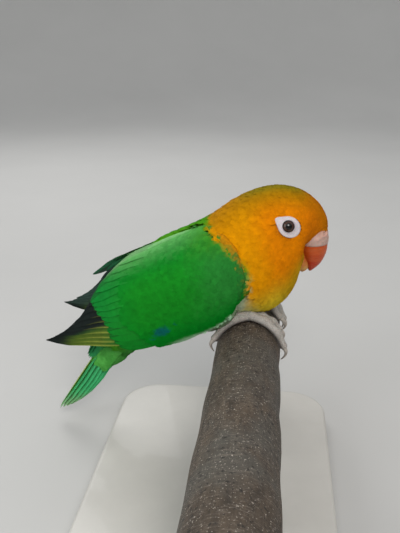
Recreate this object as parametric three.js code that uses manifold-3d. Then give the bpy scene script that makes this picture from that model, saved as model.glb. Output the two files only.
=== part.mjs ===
// A still, life-size model of a Fischer's lovebird gripping a short cut length of perch, on a plain
// display stand. Millimetres, +Z up. The bird faces +X and the perch runs along Y. The origin is the
// centre of the base's underside. The bird's own sizes are taken from a point of its middle plane just
// under the perch's axis.
import * as THREE from "three";
import { mergeVertices } from "three/addons/utils/BufferGeometryUtils.js";
import Module from "manifold-3d";

const wasm = await Module();
wasm.setup();

// Clearance between pieces that touch.
const GAP = 0.3;
const DEGREE = Math.PI / 180;
const LATERAL = new THREE.Vector3(0, 1, 0);
const SIDES = [["right", -1], ["left", 1]];

// Perch and stand. The perch's axis is raised over the point that the bird's sizes are taken from.
const PERCH = { radius: 13.7, nearRadius: 14.8, taperFrom: -22, near: -146, far: 34, raised: 1.3, edge: 1.2,
  sides: 32 };
const BASE = { x: 96, y: 126, thickness: 8, corner: 16, edge: 1.5 };
const ROD = { radius: 3, spacing: 76, sides: 16 };
const BIRD = new THREE.Vector3(12, 39, 45.5);

// Body outline in the middle plane, from the tail's root to the bill's root. Each station: back x and
// z, belly x and z, half width, the widest line's share of the height, and how far the flanks draw back
// towards the tail.
const BODY = [
  [-68.5, 1, -54, -8.5, 6.5, 0.5, 0],
  [-63, 14, -45.5, -2, 12, 0.5, 0],
  [-53.4, 32.6, -35, 4, 17, 0.5, 0],
  [-41.6, 45, -25, 9, 20, 0.5, 0],
  [-29, 51.6, -13.5, 14.5, 21.2, 0.5, 0],
  [-18, 57.4, -2, 16.2, 21.2, 0.48, 0],
  [-8.5, 64.4, 8.5, 17.2, 20, 0.46, 0],
  [0.8, 69.2, 15.5, 22.8, 17.2, 0.47, 0],
  [10.4, 71.2, 19, 29, 14.8, 0.48, 0],
  [19.2, 69.6, 20.4, 34, 13.2, 0.5, 0.6],
  [26.2, 65, 21.2, 37, 11.4, 0.52, 2],
  [30.2, 59, 22, 38.4, 9.2, 0.53, 4.4],
  [31.4, 53, 23.4, 39.6, 7.2, 0.54, 7],
];
const BODY_SIDES = 24;
const BODY_STEP = 0.4;
const HEAD_STEP = 0.34;
const NECK_FROM = 5.1;
const HEAD_FROM = 7.5;
const FACE_END = 12;
// Share of a station that makes one clearance at the two cuts across the body.
const CUT = 0.03;

// Bill: stations as in BODY, from the root to the tip. The cere is the part above a plane through the
// upper bill.
const UPPER_BILL = [
  [28.4, 56.4, 19, 49.5, 5.4, 0.5],
  [30.6, 53.9, 19.6, 46.6, 6.1, 0.45],
  [31.7, 50.6, 20.4, 43.9, 6.1, 0.4],
  [32.1, 46.8, 22, 41.6, 5.4, 0.36],
  [31.6, 42.9, 23.6, 39.6, 4.2, 0.34],
  [30, 39.1, 24.8, 37.5, 2.7, 0.38],
  [27, 35.8, 25.3, 35.6, 0.8, 0.5],
];
const LOWER_BILL = [
  [23.5, 46.5, 15.5, 43, 4, 0.5],
  [22.4, 43.2, 17.2, 40.4, 4.6, 0.5],
  [23, 40.6, 18.6, 38, 4.2, 0.5],
  [23.8, 38.3, 20.2, 36, 3.2, 0.5],
  [24, 36.4, 22, 34.8, 1.4, 0.5],
];
const BILL_SIDES = 16;
const BILL_STEP = 0.6;
const CERE_EDGE = 47.2;
const ABOVE_CERE = { size: 40, x: 26 };
const NOSTRIL = { station: 1.35, turn: 34, radius: 0.7, around: 8, down: 6 };

// Eye, with its lids and the bare ring round it, at one station and turn of the body's surface.
const EYE = { station: 8.22, turn: 68.5, radius: 2.9, sink: 1.5, around: 12, down: 8 };
const RING = { length: 4.7, height: 4.1, corner: 1.8, sharpness: 9, forward: 0.5, pitch: 31, sides: 16,
  inner: 0.84, raise: 0.3, edge: 0.6, foot: 0.8, depth: 2.7 };
const LID = { radius: 2.75, half: 0.42, height: 0.85, longer: 1.08 };

// Thighs, legs and toes. A toe's angle runs round the perch from its top towards the bird's front.
const THIGH = { at: [-15, 12.3, 19.4], radii: [10, 7, 7], tilt: 30, around: 14, down: 8 };
const SHANK = { heel: [-15.5, 12.6, 14.6], foot: [0, 11, 18], radii: [2.2, 2, 2.3] };
const FOOT = { y: 11, top: 1, toeSides: 6, toeSteps: 6, knuckles: 3, knuckle: 0.09, lastRing: 0.75 };
const TOES = [
  { name: "inner_front", to: 59, spread: -4.5, root: 2.1, end: 1.45, claw: 18 },
  { name: "outer_front", to: 76, spread: 3.2, root: 2.2, end: 1.5, claw: 20 },
  { name: "outer_rear", to: -66, spread: 4.2, root: 2.1, end: 1.5, claw: -19 },
  { name: "inner_rear", to: -46, spread: -3.4, root: 1.9, end: 1.4, claw: -18 },
];
const CLAW = { root: 1.05, tip: 0.18, arch: 1.5, archFrom: 0.15, gap: 0.36, steps: 4, sides: 6 };

// Wing surface, for the +Y side: rows from the bend to the tip, each with the upper edge, the middle
// and the lower edge as x, y, z.
const WING = [
  [-5, 15.8, 54.5, 1, 22.3, 38.5, -2, 19.8, 25.5],
  [-17, 10, 58.2, -12, 24.6, 37.5, -11, 21.6, 17.5],
  [-30, 5, 52.2, -25, 25.2, 33, -23, 22, 11.2],
  [-43, 3.6, 45, -38.5, 23.8, 27.5, -38, 21, 5.4],
  [-55, 4.6, 37.5, -52.5, 20.6, 21.5, -54, 18.6, 1.6],
  [-64.5, 8, 28.5, -65.5, 16.8, 14.5, -69, 16, 0.2],
  [-75, 11, 14.6, -77.5, 14.6, 7.5, -81, 14.4, -0.2],
  [-90, 13, 3.2, -90.3, 13.2, 1.9, -90.6, 13.2, 0.6],
];
// At 1 the wing's section is two quarter ellipses that meet at the middle, and above 1 it is flatter.
const WING_FLATNESS = 1.4;
// Solid part of the wing under the feathers, as far as this share of its length.
const WING_CORE = { to: 0.5, edge: 0.02, bend: 0.32, bendTo: 0.16, sunk: [-0.25, 1.4], sunkFrom: 0.2,
  depth: 3, rim: 0.5, steps: 6 };
// Rows of feathers from the outermost to the innermost, root and tip as shares along and down the
// wing's surface.
const WING_ROWS = {
  primaries: { count: 7, root: [[0.36, 0.83], [0.44, 0.5]], tip: [[0.99, 0.7], [0.8, 0.18]],
    half: [3.2, 3.8], lift: [-2.3, -1.2], roll: 6, pointed: true },
  primaryCoverts: { count: 3, root: [[0.22, 0.86], [0.25, 0.74]], tip: [[0.46, 0.86], [0.5, 0.77]],
    half: [3, 3.2], lift: [-1.2, -0.9], roll: 8 },
  secondaries: { count: 6, root: [[0.32, 0.74], [0.4, 0.3]], tip: [[0.57, 0.85], [0.71, 0.24]],
    half: [4.4, 5], lift: [-1.1, -0.3], roll: 9 },
  tertials: { count: 3, root: [[0.36, 0.28], [0.32, 0.12]], tip: [[0.73, 0.16], [0.6, 0.04]],
    half: [5.4, 5], lift: [-0.3, 0], roll: 6 },
  greaterCoverts: { count: 6, root: [[0.16, 0.78], [0.2, 0.16]], tip: [[0.41, 0.79], [0.47, 0.15]],
    half: [4.6, 5.2], lift: [-0.9, -0.2], roll: 9 },
};
// The left wing is held this far from the mirrored right one at its root and at its tip, more and more
// towards the tip, and its tertials stand off it and reach further back.
const LEFT_WING = { root: [0, 0, -3], tip: [1, 3.5, 7.8], bend: 2,
  tertials: { tip: [[0.83, 0.24], [0.68, 0.16]], half: [4.4, 4.4], rise: [4.6, 0.4] } };

// Root of the tail under its feathers, stations as in BODY.
const TAIL_CORE = [
  [-68.7, 0.7, -54.2, -8.8, 6.3, 0.5],
  [-70.6, -4.5, -57.2, -12.4, 5.8, 0.5],
  [-72, -9.5, -61.5, -15, 4.4, 0.5],
];
// The tail's feathers lie on an arched roof along this line, the middle pair longest and on top.
const TAIL = { root: [-61.6, -4.2], tip: [-86.9, -41], halfWidth: [6.2, 5.2], height: [7.2, 4.4], arch: 98,
  under: 0.35, rootSpread: 0.8 };
const RECTRICES = { pairs: 5, first: 0.1, spread: 0.86, shorter: 0.24, half: [4, 3.4], step: 0.7, sink: 0.5 };
const TAIL_COVERTS = { count: 5, from: -0.06, reach: 0.42, shorter: 0.3, half: 3.8, lift: 0.75, step: 0.2,
  spread: 0.75 };
// Share of a feather's full width at each share of its length.
const ROUND_VANE = [[0, 0.6], [0.42, 0.98], [0.83, 0.86], [1, 0.2]];
const POINTED_VANE = [[0, 0.6], [0.42, 0.98], [0.8, 0.78], [1, 0.12]];
const VANE = { thickness: 0.6, tipThickness: 0.35, sink: 1.5, rooted: 0.4 };
// Step for reading the directions of a surface.
const NUDGE = 0.01;

const LOOKS = {
  orange: [0xd08a10, 0.8, 0],
  green: [0x1e8a3c, 0.75, 0],
  bareSkin: [0xe8e4e2, 0.6, 0],
  eye: [0x17100c, 0.1, 0],
  cere: [0xd9c3c0, 0.6, 0],
  horn: [0xd2502c, 0.35, 0],
  foot: [0xa79a98, 0.7, 0],
  claw: [0x8d8078, 0.5, 0],
  wood: [0x6b5a4e, 0.85, 0],
  base: [0xd8d6d0, 0.5, 0],
  steel: [0xb8bbbe, 0.3, 1],
};

const mix = ([a, b], f) => a + (b - a) * f;

// Catmull-Rom through rows of numbers; u counts rows.
function along(rows, u) {
  const last = rows.length - 1;
  const i = Math.min(Math.max(Math.floor(u), 0), last - 1);
  const f = u - i;
  const value = (k, c) => {
    if (k < 0) return 2 * rows[0][c] - rows[1][c];
    if (k > last) return 2 * rows[last][c] - rows[last - 1][c];
    return rows[k][c];
  };
  return rows[i].map((_, c) => {
    const [p, q, r, s] = [value(i - 1, c), value(i, c), value(i + 1, c), value(i + 2, c)];
    return q + 0.5 * f * (r - p + f * (2 * p - 5 * q + 4 * r - s + f * (3 * (q - r) + s - p)));
  });
}

// A point of a lofted form such as BODY: turn runs from the back (0) round the +Y side.
function loftPoint(stations, u, turn, swell = 0) {
  const [backX, backZ, bellyX, bellyZ, width, widest, drawn = 0] = along(stations, u);
  const height = Math.hypot(backX - bellyX, backZ - bellyZ);
  const up = new THREE.Vector3((backX - bellyX) / height, 0, (backZ - bellyZ) / height);
  const rise = Math.cos(turn) > 0 ? (1 - widest) * height : widest * height;
  return new THREE.Vector3(bellyX, 0, bellyZ)
    .addScaledVector(up, widest * height + (rise + swell) * Math.cos(turn))
    .add(new THREE.Vector3(-drawn * Math.sin(turn) ** 2, (width + swell) * Math.sin(turn), 0));
}

// A manifold solid from points and triangles, turned the right way out.
function solid(points, faces) {
  const volume = faces.reduce(
    (sum, [a, b, c]) => sum + points[a].dot(new THREE.Vector3().crossVectors(points[b], points[c])),
    0,
  );
  const outward = volume < 0 ? faces.map(([a, b, c]) => [a, c, b]) : faces;
  const vertProperties = new Float32Array(points.flatMap((p) => p.toArray()));
  const triVerts = new Uint32Array(outward.flat());
  return new wasm.Manifold(new wasm.Mesh({ numProp: 3, vertProperties, triVerts }));
}

// A manifold solid from a closed three.js geometry.
function solidOf(geometry, matrix = new THREE.Matrix4()) {
  const bare = geometry.clone().applyMatrix4(matrix);
  bare.deleteAttribute("normal");
  bare.deleteAttribute("uv");
  const merged = mergeVertices(bare, 1e-4);
  const vertProperties = merged.attributes.position.array;
  const triVerts = new Uint32Array(merged.index.array);
  return new wasm.Manifold(new wasm.Mesh({ numProp: 3, vertProperties, triVerts }));
}

// Joins rings of points, alike in number, into one closed body, with a fan of triangles over each end.
// From ring side otherFrom on, the quads are split along their other diagonal.
function skin(rings, otherFrom = Infinity) {
  const n = rings[0].length;
  const faces = [];
  for (let k = 0; k < rings.length - 1; k++)
    for (let j = 0; j < n; j++) {
      const [a, b] = [k * n + j, k * n + ((j + 1) % n)];
      if (j < otherFrom) faces.push([a, b, b + n], [a, b + n, a + n]);
      else faces.push([a, b, a + n], [b, b + n, a + n]);
    }
  const end = (rings.length - 1) * n;
  for (let j = 1; j < n - 1; j++) faces.push([0, j + 1, j], [end, end + j, end + j + 1]);
  return solid(rings.flat(), faces);
}

// A closed length of a lofted form between two stations.
function loft(stations, from, to, step, sides, swell = 0) {
  const count = Math.max(1, Math.round((to - from) / step));
  const ring = (u) =>
    Array.from({ length: sides }, (_, j) => loftPoint(stations, u, (2 * Math.PI * j) / sides, swell));
  return skin(Array.from({ length: count + 1 }, (_, k) => ring(from + ((to - from) * k) / count)));
}

// A tube of given radii through points.
function tube(points, radii, sides) {
  return skin(
    points.map((p, k) => {
      const before = points[Math.max(k - 1, 0)];
      const ahead = points[Math.min(k + 1, points.length - 1)].clone().sub(before).normalize();
      const side = LATERAL.clone().addScaledVector(ahead, -LATERAL.dot(ahead)).normalize();
      const up = new THREE.Vector3().crossVectors(ahead, side);
      return Array.from({ length: sides }, (_, j) => {
        const a = (2 * Math.PI * j) / sides;
        const across = side.clone().multiplyScalar(Math.cos(a)).addScaledVector(up, Math.sin(a));
        return p.clone().addScaledVector(across, radii[k]);
      });
    }),
  );
}

// One closed body: the pieces joined, the cutters taken away, and only the largest surface kept.
function joined(pieces, cutters = []) {
  let made = wasm.Manifold.union(pieces);
  if (cutters.length) made = made.subtract(wasm.Manifold.union(cutters));
  return made.decompose().reduce((a, b) => (b.volume() > a.volume() ? b : a));
}

function add(parent, name, manifold, look) {
  const { numProp, vertProperties, triVerts } = manifold.getMesh();
  const positions = [];
  for (let i = 0; i < vertProperties.length; i += numProp)
    positions.push(vertProperties[i], vertProperties[i + 1], vertProperties[i + 2]);
  const geometry = new THREE.BufferGeometry()
    .setAttribute("position", new THREE.Float32BufferAttribute(positions, 3))
    .setIndex([...triVerts]);
  const [color, roughness, metalness] = LOOKS[look];
  const mesh = new THREE.Mesh(geometry, new THREE.MeshStandardMaterial({ color, roughness, metalness }));
  mesh.name = name;
  parent.add(mesh);
}

// The eye's frame on one side: origin on the head's surface, x towards the bill, z outwards.
function eyeFrame(side) {
  const [u, turn] = [EYE.station, side * EYE.turn * DEGREE];
  const alongBody = loftPoint(BODY, u + NUDGE, turn).sub(loftPoint(BODY, u - NUDGE, turn));
  const aroundBody = loftPoint(BODY, u, turn + NUDGE).sub(loftPoint(BODY, u, turn - NUDGE));
  const out = new THREE.Vector3().crossVectors(alongBody, aroundBody).normalize();
  const ahead = new THREE.Vector3(Math.cos(RING.pitch * DEGREE), 0, -Math.sin(RING.pitch * DEGREE));
  ahead.addScaledVector(out, -ahead.dot(out)).normalize();
  const across = new THREE.Vector3().crossVectors(out, ahead);
  return new THREE.Matrix4().makeBasis(ahead, across, out).setPosition(loftPoint(BODY, u, turn));
}

// Outline of the bare ring, an ellipse with a drawn-out rear corner, at a share of its size.
function ringOutline(frame, share, rise, swell) {
  return Array.from({ length: RING.sides }, (_, j) => {
    const a = (2 * Math.PI * j) / RING.sides;
    const corner = RING.corner * Math.max(0, -Math.cos(a)) ** RING.sharpness;
    const x = ((RING.length + corner) * Math.cos(a) + RING.forward) * share + swell * Math.cos(a);
    return new THREE.Vector3(x, (RING.height * share + swell) * Math.sin(a), rise).applyMatrix4(frame);
  });
}

// Round outline on the rim of the lids.
function lidOutline(frame, radius, rise) {
  return Array.from({ length: RING.sides }, (_, j) => {
    const a = (2 * Math.PI * j) / RING.sides;
    const point = new THREE.Vector3(LID.longer * radius * Math.cos(a), radius * Math.sin(a), rise);
    return point.applyMatrix4(frame);
  });
}

// The bare ring, with the rim of the lids standing up round the eye.
function eyeRing(frame) {
  return skin([
    ringOutline(frame, RING.foot, -RING.depth, 0),
    ringOutline(frame, 1, -RING.edge, 0),
    ringOutline(frame, 1, 0, 0),
    ringOutline(frame, RING.inner, RING.raise, 0),
    lidOutline(frame, LID.radius + LID.half, RING.raise),
    lidOutline(frame, LID.radius, LID.height),
    lidOutline(frame, LID.radius - LID.half, RING.raise),
  ]);
}

function eyeSocket(frame) {
  return skin([
    ringOutline(frame, RING.foot, -RING.depth - GAP, GAP),
    ringOutline(frame, 1, -RING.edge, GAP),
    ringOutline(frame, 1, RING.depth, GAP),
  ]);
}

function eyeball(frame, swell) {
  const ball = new THREE.SphereGeometry(EYE.radius + swell, EYE.around, EYE.down);
  return solidOf(ball, frame.clone().multiply(new THREE.Matrix4().makeTranslation(0, 0, -EYE.sink)));
}

function onPerch(angle, y, above) {
  const reach = PERCH.radius + GAP + above;
  const up = reach * Math.cos(angle * DEGREE) + PERCH.raised;
  return new THREE.Vector3(reach * Math.sin(angle * DEGREE), y, up);
}

function toe(side, { to, spread, root, end }, swell) {
  const points = [];
  const radii = [];
  for (let k = 0; k <= FOOT.toeSteps; k++) {
    const f = k / FOOT.toeSteps;
    const knuckles = f < 1 ? 1 + FOOT.knuckle * Math.cos(2 * Math.PI * FOOT.knuckles * f) : FOOT.lastRing;
    const radius = mix([root, end], f) * knuckles;
    const y = side * (FOOT.y + spread * Math.sin((f * Math.PI) / 2));
    points.push(onPerch(mix([FOOT.top, to], f), y, radius));
    radii.push(radius + swell);
  }
  return tube(points, radii, FOOT.toeSides);
}

function claw(side, { to, spread, claw: reach }) {
  const from = to + (Math.sign(to) * CLAW.gap) / PERCH.radius / DEGREE;
  const points = [];
  const radii = [];
  for (let k = 0; k <= CLAW.steps; k++) {
    const f = k / CLAW.steps;
    const radius = mix([CLAW.root, CLAW.tip], f);
    const arch = CLAW.arch * Math.sin(Math.PI * mix([CLAW.archFrom, 1], f));
    points.push(onPerch(from + reach * f, side * (FOOT.y + spread), radius + arch));
    radii.push(radius);
  }
  return tube(points, radii, CLAW.sides);
}

function foot(side, swell) {
  const [heel, end] = [SHANK.heel, SHANK.foot].map(([x, y, z]) => new THREE.Vector3(x, side * y, z));
  const shank = [heel, heel.clone().lerp(end, 0.5), end];
  const leg = tube(shank, SHANK.radii.map((r) => r + swell), FOOT.toeSides);
  return [...TOES.map((t) => toe(side, t, swell)), leg];
}

// Feathered thigh, a drop-shaped swelling low on the flank.
function thigh(side, swell) {
  const [x, y, z] = THIGH.at;
  const matrix = new THREE.Matrix4()
    .makeTranslation(x, side * y, z)
    .multiply(new THREE.Matrix4().makeRotationY(-THIGH.tilt * DEGREE))
    .scale(new THREE.Vector3(...THIGH.radii).addScalar(swell));
  return solidOf(new THREE.SphereGeometry(1, THIGH.around, THIGH.down), matrix);
}

// A point of the surface of one side's wing and its outward direction: t runs from the bend (0) to the
// tip (1), and v from the upper edge (0) to the lower (1).
function wingPoint(side, t, v, lift) {
  const { root, tip, bend } = LEFT_WING;
  const held = (tt) => new THREE.Vector3(...root).lerp(new THREE.Vector3(...tip), Math.max(0, tt) ** bend);
  const surface = (tt, vv) => {
    const row = along(WING, tt * (WING.length - 1));
    const [upper, middle, lower] = [0, 3, 6].map((k) => new THREE.Vector3(row[k], row[k + 1], row[k + 2]));
    const toEdge = (vv < 0.5 ? upper : lower).sub(middle);
    const down = Math.abs(Math.cos(Math.PI * vv));
    const inward = 1 - Math.max(0, Math.sin(Math.PI * vv)) ** WING_FLATNESS;
    middle.add(new THREE.Vector3(toEdge.x * down, toEdge.y * inward, toEdge.z * down));
    if (side > 0) middle.add(held(tt));
    middle.y *= side;
    return middle;
  };
  const downWing = surface(t, v + NUDGE).sub(surface(t, v - NUDGE));
  const alongWing = surface(t + NUDGE, v).sub(surface(t - NUDGE, v));
  const out = new THREE.Vector3().crossVectors(alongWing, downWing).normalize();
  if (out.y * side < 0) out.negate();
  return { at: surface(t, v).addScaledVector(out, lift), out };
}

function wingCore(side) {
  const { to, edge, bend, bendTo, sunk, sunkFrom, depth, rim, steps } = WING_CORE;
  const line = (t, lift, drop) =>
    Array.from({ length: steps + 1 }, (_, j) => {
      const inset = edge + bend * Math.max(0, 1 - t / bendTo) ** 2;
      const v = mix([inset, 1 - inset], j / steps);
      return wingPoint(side, t, v, lift + (j === 0 || j === steps ? drop : 0)).at;
    });
  const ring = (t) => {
    const lift = -mix(sunk, Math.min(1, t / sunkFrom));
    return [...line(t, lift, -rim), ...line(t, lift - depth, rim).reverse()];
  };
  return skin(Array.from({ length: steps + 1 }, (_, i) => ring((to * i) / steps)));
}

// A feather's vane laid on a surface from its root to its tip, as shares along and across that surface.
// It starts sunk at the root and rises towards the tip, and its far edge is rolled up by some degrees
// so that it lies over its neighbour like a tile.
function vane(surface, root, tip, half, { lift = 0, rise = 0, roll = 0, pointed = false, sink = VANE.sink }) {
  const stations = (pointed ? POINTED_VANE : ROUND_VANE).map(([q, share]) => {
    const sunk = sink * Math.max(0, 1 - q / VANE.rooted);
    const place = [0, 1].map((k) => mix([root[k], tip[k]], q));
    const { at, out } = surface(...place, lift + rise * q ** 3 - sunk);
    const thickness = q === 1 ? VANE.tipThickness : VANE.thickness;
    return { at, out, half: half * share, thickness };
  });
  const rings = stations.map(({ at, out, half: width, thickness }, k) => {
    const before = stations[Math.max(k - 1, 0)].at;
    const after = stations[Math.min(k + 1, stations.length - 1)].at;
    const ahead = after.clone().sub(before).normalize();
    const side = new THREE.Vector3().crossVectors(ahead, out).normalize();
    side.applyAxisAngle(ahead, roll * DEGREE);
    const up = new THREE.Vector3().crossVectors(side, ahead);
    const point = (across, high) =>
      at.clone().addScaledVector(side, across * width).addScaledVector(up, (high * thickness) / 2);
    return [point(-1, -1), point(1, -1), point(1, 1), point(-1, 1)];
  });
  return skin(rings, 2);
}

function wingFeathers(side) {
  const surface = (t, v, lift) => wingPoint(side, t, v, lift);
  const tertials = { ...WING_ROWS.tertials, ...(side > 0 ? LEFT_WING.tertials : {}) };
  return Object.values({ ...WING_ROWS, tertials }).flatMap((row) =>
    Array.from({ length: row.count }, (_, i) => {
      const f = i / (row.count - 1);
      const between = ([first, last]) => first.map((c, k) => mix([c, last[k]], f));
      const rise = mix(row.rise ?? [0, 0], f);
      const options = { lift: mix(row.lift, f), rise, roll: side * row.roll, pointed: row.pointed };
      return vane(surface, between(row.root), between(row.tip), mix(row.half, f), options);
    }),
  );
}

// A point of the tail's roof: t runs from the root to the tip, and v from the +Y side's edge (1) to the
// -Y side's.
function tailPoint(t, v, lift) {
  const { root, tip, halfWidth, height, arch, under } = TAIL;
  const line = new THREE.Vector3(tip[0] - root[0], 0, tip[1] - root[1]);
  const back = new THREE.Vector3(line.z, 0, -line.x).normalize();
  const turn = v * arch * DEGREE;
  const out = back.clone().multiplyScalar(Math.cos(turn)).addScaledVector(LATERAL, Math.sin(turn));
  const at = new THREE.Vector3(root[0], 0, root[1])
    .addScaledVector(line, t)
    .addScaledVector(back, mix(height, t) * (Math.cos(turn) - under))
    .addScaledVector(LATERAL, mix(halfWidth, t) * Math.sin(turn))
    .addScaledVector(out, lift);
  return { at, out };
}

function tailFeathers() {
  const rectrices = SIDES.flatMap(([, side]) =>
    Array.from({ length: RECTRICES.pairs }, (_, i) => {
      const f = i / (RECTRICES.pairs - 1);
      const v = side * (RECTRICES.first + RECTRICES.spread * f);
      const lift = -RECTRICES.step * (side > 0 ? i : i + 0.5);
      const tip = [1 - RECTRICES.shorter * f, v];
      const options = { lift, pointed: true, sink: RECTRICES.sink };
      return vane(tailPoint, [0, v * TAIL.rootSpread], tip, mix(RECTRICES.half, f), options);
    }),
  );
  const { count, from, reach, shorter, half, lift, step, spread } = TAIL_COVERTS;
  const coverts = Array.from({ length: count }, (_, i) => {
    const v = spread * ((2 * i) / (count - 1) - 1);
    const tip = [reach * (1 - shorter * v * v), v];
    return vane(tailPoint, [from, v * TAIL.rootSpread], tip, half, { lift: lift - step * (i % 2) });
  });
  return [...rectrices, ...coverts];
}

function roundedPlate({ x, y, thickness, corner, edge }) {
  const [hx, hy] = [x / 2 - edge - corner, y / 2 - edge - corner];
  const shape = new THREE.Shape();
  [[hx, -hy], [hx, hy], [-hx, hy], [-hx, -hy]].forEach(([cx, cy], k) =>
    shape.absarc(cx, cy, corner, ((k - 1) * Math.PI) / 2, (k * Math.PI) / 2),
  );
  const options = { bevelThickness: edge, bevelSize: edge, bevelSegments: 1, curveSegments: 5 };
  const plate = new THREE.ExtrudeGeometry(shape, { depth: thickness - 2 * edge, ...options });
  return solidOf(plate, new THREE.Matrix4().makeTranslation(0, 0, edge));
}

function perch() {
  const { radius, nearRadius, taperFrom, near, far, raised, edge, sides } = PERCH;
  const profile = [
    [0, near],
    [nearRadius - edge, near],
    [nearRadius, near + edge],
    [radius, taperFrom],
    [radius, far - edge],
    [radius - edge, far],
    [0, far],
  ];
  const turned = new THREE.LatheGeometry(profile.map((p) => new THREE.Vector2(...p)), sides);
  return solidOf(turned, new THREE.Matrix4().makeTranslation(0, 0, raised));
}

// A rod from the base up to the perch's underside.
function rod(y) {
  const taper = Math.max(0, (PERCH.taperFrom - (y - BIRD.y)) / (PERCH.taperFrom - PERCH.near));
  const low = BASE.thickness + GAP;
  const high = BIRD.z + PERCH.raised - mix([PERCH.radius, PERCH.nearRadius], taper) - GAP;
  const place = new THREE.Matrix4()
    .makeTranslation(BIRD.x, y, (low + high) / 2)
    .multiply(new THREE.Matrix4().makeRotationX(Math.PI / 2));
  return solidOf(new THREE.CylinderGeometry(ROD.radius, ROD.radius, high - low, ROD.sides), place);
}

const part = new THREE.Group();
const bird = new THREE.Group();
bird.position.copy(BIRD);
part.add(bird);

// Head, neck and torso, cut from one form.
const bodyLoft = (from, to, swell) => loft(BODY, from, to, BODY_STEP, BODY_SIDES, swell);
const headLoft = loft(BODY, HEAD_FROM, FACE_END, HEAD_STEP, BODY_SIDES);
const billLoft = (stations, swell) => loft(stations, 0, stations.length - 1, BILL_STEP, BILL_SIDES, swell);
const eyeFrames = SIDES.map(([, side]) => eyeFrame(side));
const eyeHoles = eyeFrames.flatMap((frame) => [eyeSocket(frame), eyeball(frame, GAP)]);
const billHoles = [UPPER_BILL, LOWER_BILL].map((stations) => billLoft(stations, GAP));
const legHoles = SIDES.flatMap(([, side]) => [...foot(side, GAP), thigh(side, GAP)]);
add(bird, "head", joined([headLoft], [...billHoles, ...eyeHoles]), "orange");
add(bird, "neck", joined([bodyLoft(NECK_FROM, HEAD_FROM - CUT)], legHoles), "orange");
add(bird, "torso", joined([bodyLoft(0, NECK_FROM - CUT)], legHoles), "green");

// Bill, cere and nostrils.
const aboveCere = (edge) => {
  const { size, x } = ABOVE_CERE;
  const place = new THREE.Matrix4().makeTranslation(x, 0, edge + size / 2);
  return solidOf(new THREE.BoxGeometry(size, size, size), place);
};
const nostrils = SIDES.map(([, side]) => {
  const at = loftPoint(UPPER_BILL, NOSTRIL.station, side * NOSTRIL.turn * DEGREE);
  const ball = new THREE.SphereGeometry(NOSTRIL.radius, NOSTRIL.around, NOSTRIL.down);
  return solidOf(ball, new THREE.Matrix4().setPosition(at));
});
const upperBill = billLoft(UPPER_BILL, 0);
const lowerHole = billLoft(LOWER_BILL, GAP);
add(bird, "cere", joined([upperBill.intersect(aboveCere(CERE_EDGE))], nostrils), "cere");
add(bird, "bill_upper", joined([upperBill], [aboveCere(CERE_EDGE - GAP), lowerHole]), "horn");
add(bird, "bill_lower", billLoft(LOWER_BILL, 0), "horn");

SIDES.forEach(([name, side], i) => {
  add(bird, "eye_" + name, eyeball(eyeFrames[i], 0), "eye");
  add(bird, "eye_ring_" + name, joined([eyeRing(eyeFrames[i])], [eyeball(eyeFrames[i], GAP)]), "bareSkin");
  add(bird, "thigh_" + name, joined([thigh(side, 0)], foot(side, GAP)), "green");
  add(bird, "foot_" + name, joined(foot(side, 0)), "foot");
  TOES.forEach((t) => add(bird, "claw_" + name + "_" + t.name, claw(side, t), "claw"));
  const neighbours = [bodyLoft(0, HEAD_FROM, GAP), thigh(side, GAP)];
  add(bird, "wing_" + name, joined([wingCore(side), ...wingFeathers(side)], neighbours), "green");
});

const tailCore = loft(TAIL_CORE, 0, TAIL_CORE.length - 1, BILL_STEP, BILL_SIDES);
add(bird, "tail", joined([tailCore, ...tailFeathers()], [bodyLoft(0, 1, GAP)]), "green");

// Perch and stand.
add(bird, "perch", perch(), "wood");
add(part, "stand_base", roundedPlate(BASE), "base");
add(part, "stand_rod_front", rod(-ROD.spacing / 2), "steel");
add(part, "stand_rod_rear", rod(ROD.spacing / 2), "steel");

export default part;
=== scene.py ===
# A Fischer's lovebird gripping a short perch on a plain stand: plumage, bare parts and finishes over the
# solids. Lengths are millimetres from a point of the bird's middle plane just under the perch's axis, with +X
# ahead and +Z up, and become metres when a mesh is made.
import math

import bpy
import numpy as np
from mathutils import Matrix, Vector
from mathutils.bvhtree import BVHTree
from mathutils.kdtree import KDTree


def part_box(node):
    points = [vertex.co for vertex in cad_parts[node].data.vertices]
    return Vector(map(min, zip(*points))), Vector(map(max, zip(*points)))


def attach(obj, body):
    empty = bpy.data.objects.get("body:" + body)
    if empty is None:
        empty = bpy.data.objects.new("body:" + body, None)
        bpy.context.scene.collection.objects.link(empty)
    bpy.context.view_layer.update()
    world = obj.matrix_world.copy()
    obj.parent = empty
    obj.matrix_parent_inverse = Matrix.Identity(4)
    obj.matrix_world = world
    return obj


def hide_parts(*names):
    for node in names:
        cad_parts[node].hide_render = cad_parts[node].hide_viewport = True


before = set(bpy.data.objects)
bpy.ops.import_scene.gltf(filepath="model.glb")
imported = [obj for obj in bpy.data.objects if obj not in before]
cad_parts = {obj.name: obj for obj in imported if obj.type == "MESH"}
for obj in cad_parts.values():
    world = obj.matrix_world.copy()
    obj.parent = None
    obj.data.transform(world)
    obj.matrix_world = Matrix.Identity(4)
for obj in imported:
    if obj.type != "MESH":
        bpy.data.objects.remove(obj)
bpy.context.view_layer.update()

MM = 0.001
DEGREE = math.pi / 180
SIDES = (("right", -1), ("left", 1))
rng = np.random.default_rng(11)

# Height of the perch's axis over the point that the bird's sizes are taken from.
PERCH_RAISED = 1.3

# Where the bird stands in the row frame, read from the perch and the torso.
perch_low, perch_high = (np.array(corner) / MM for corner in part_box("perch"))
torso_low, torso_high = (np.array(corner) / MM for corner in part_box("torso"))
BIRD = np.array([
    (perch_low[0] + perch_high[0]) / 2,
    (torso_low[1] + torso_high[1]) / 2,
    (perch_low[2] + perch_high[2]) / 2 - PERCH_RAISED,
])

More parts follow.
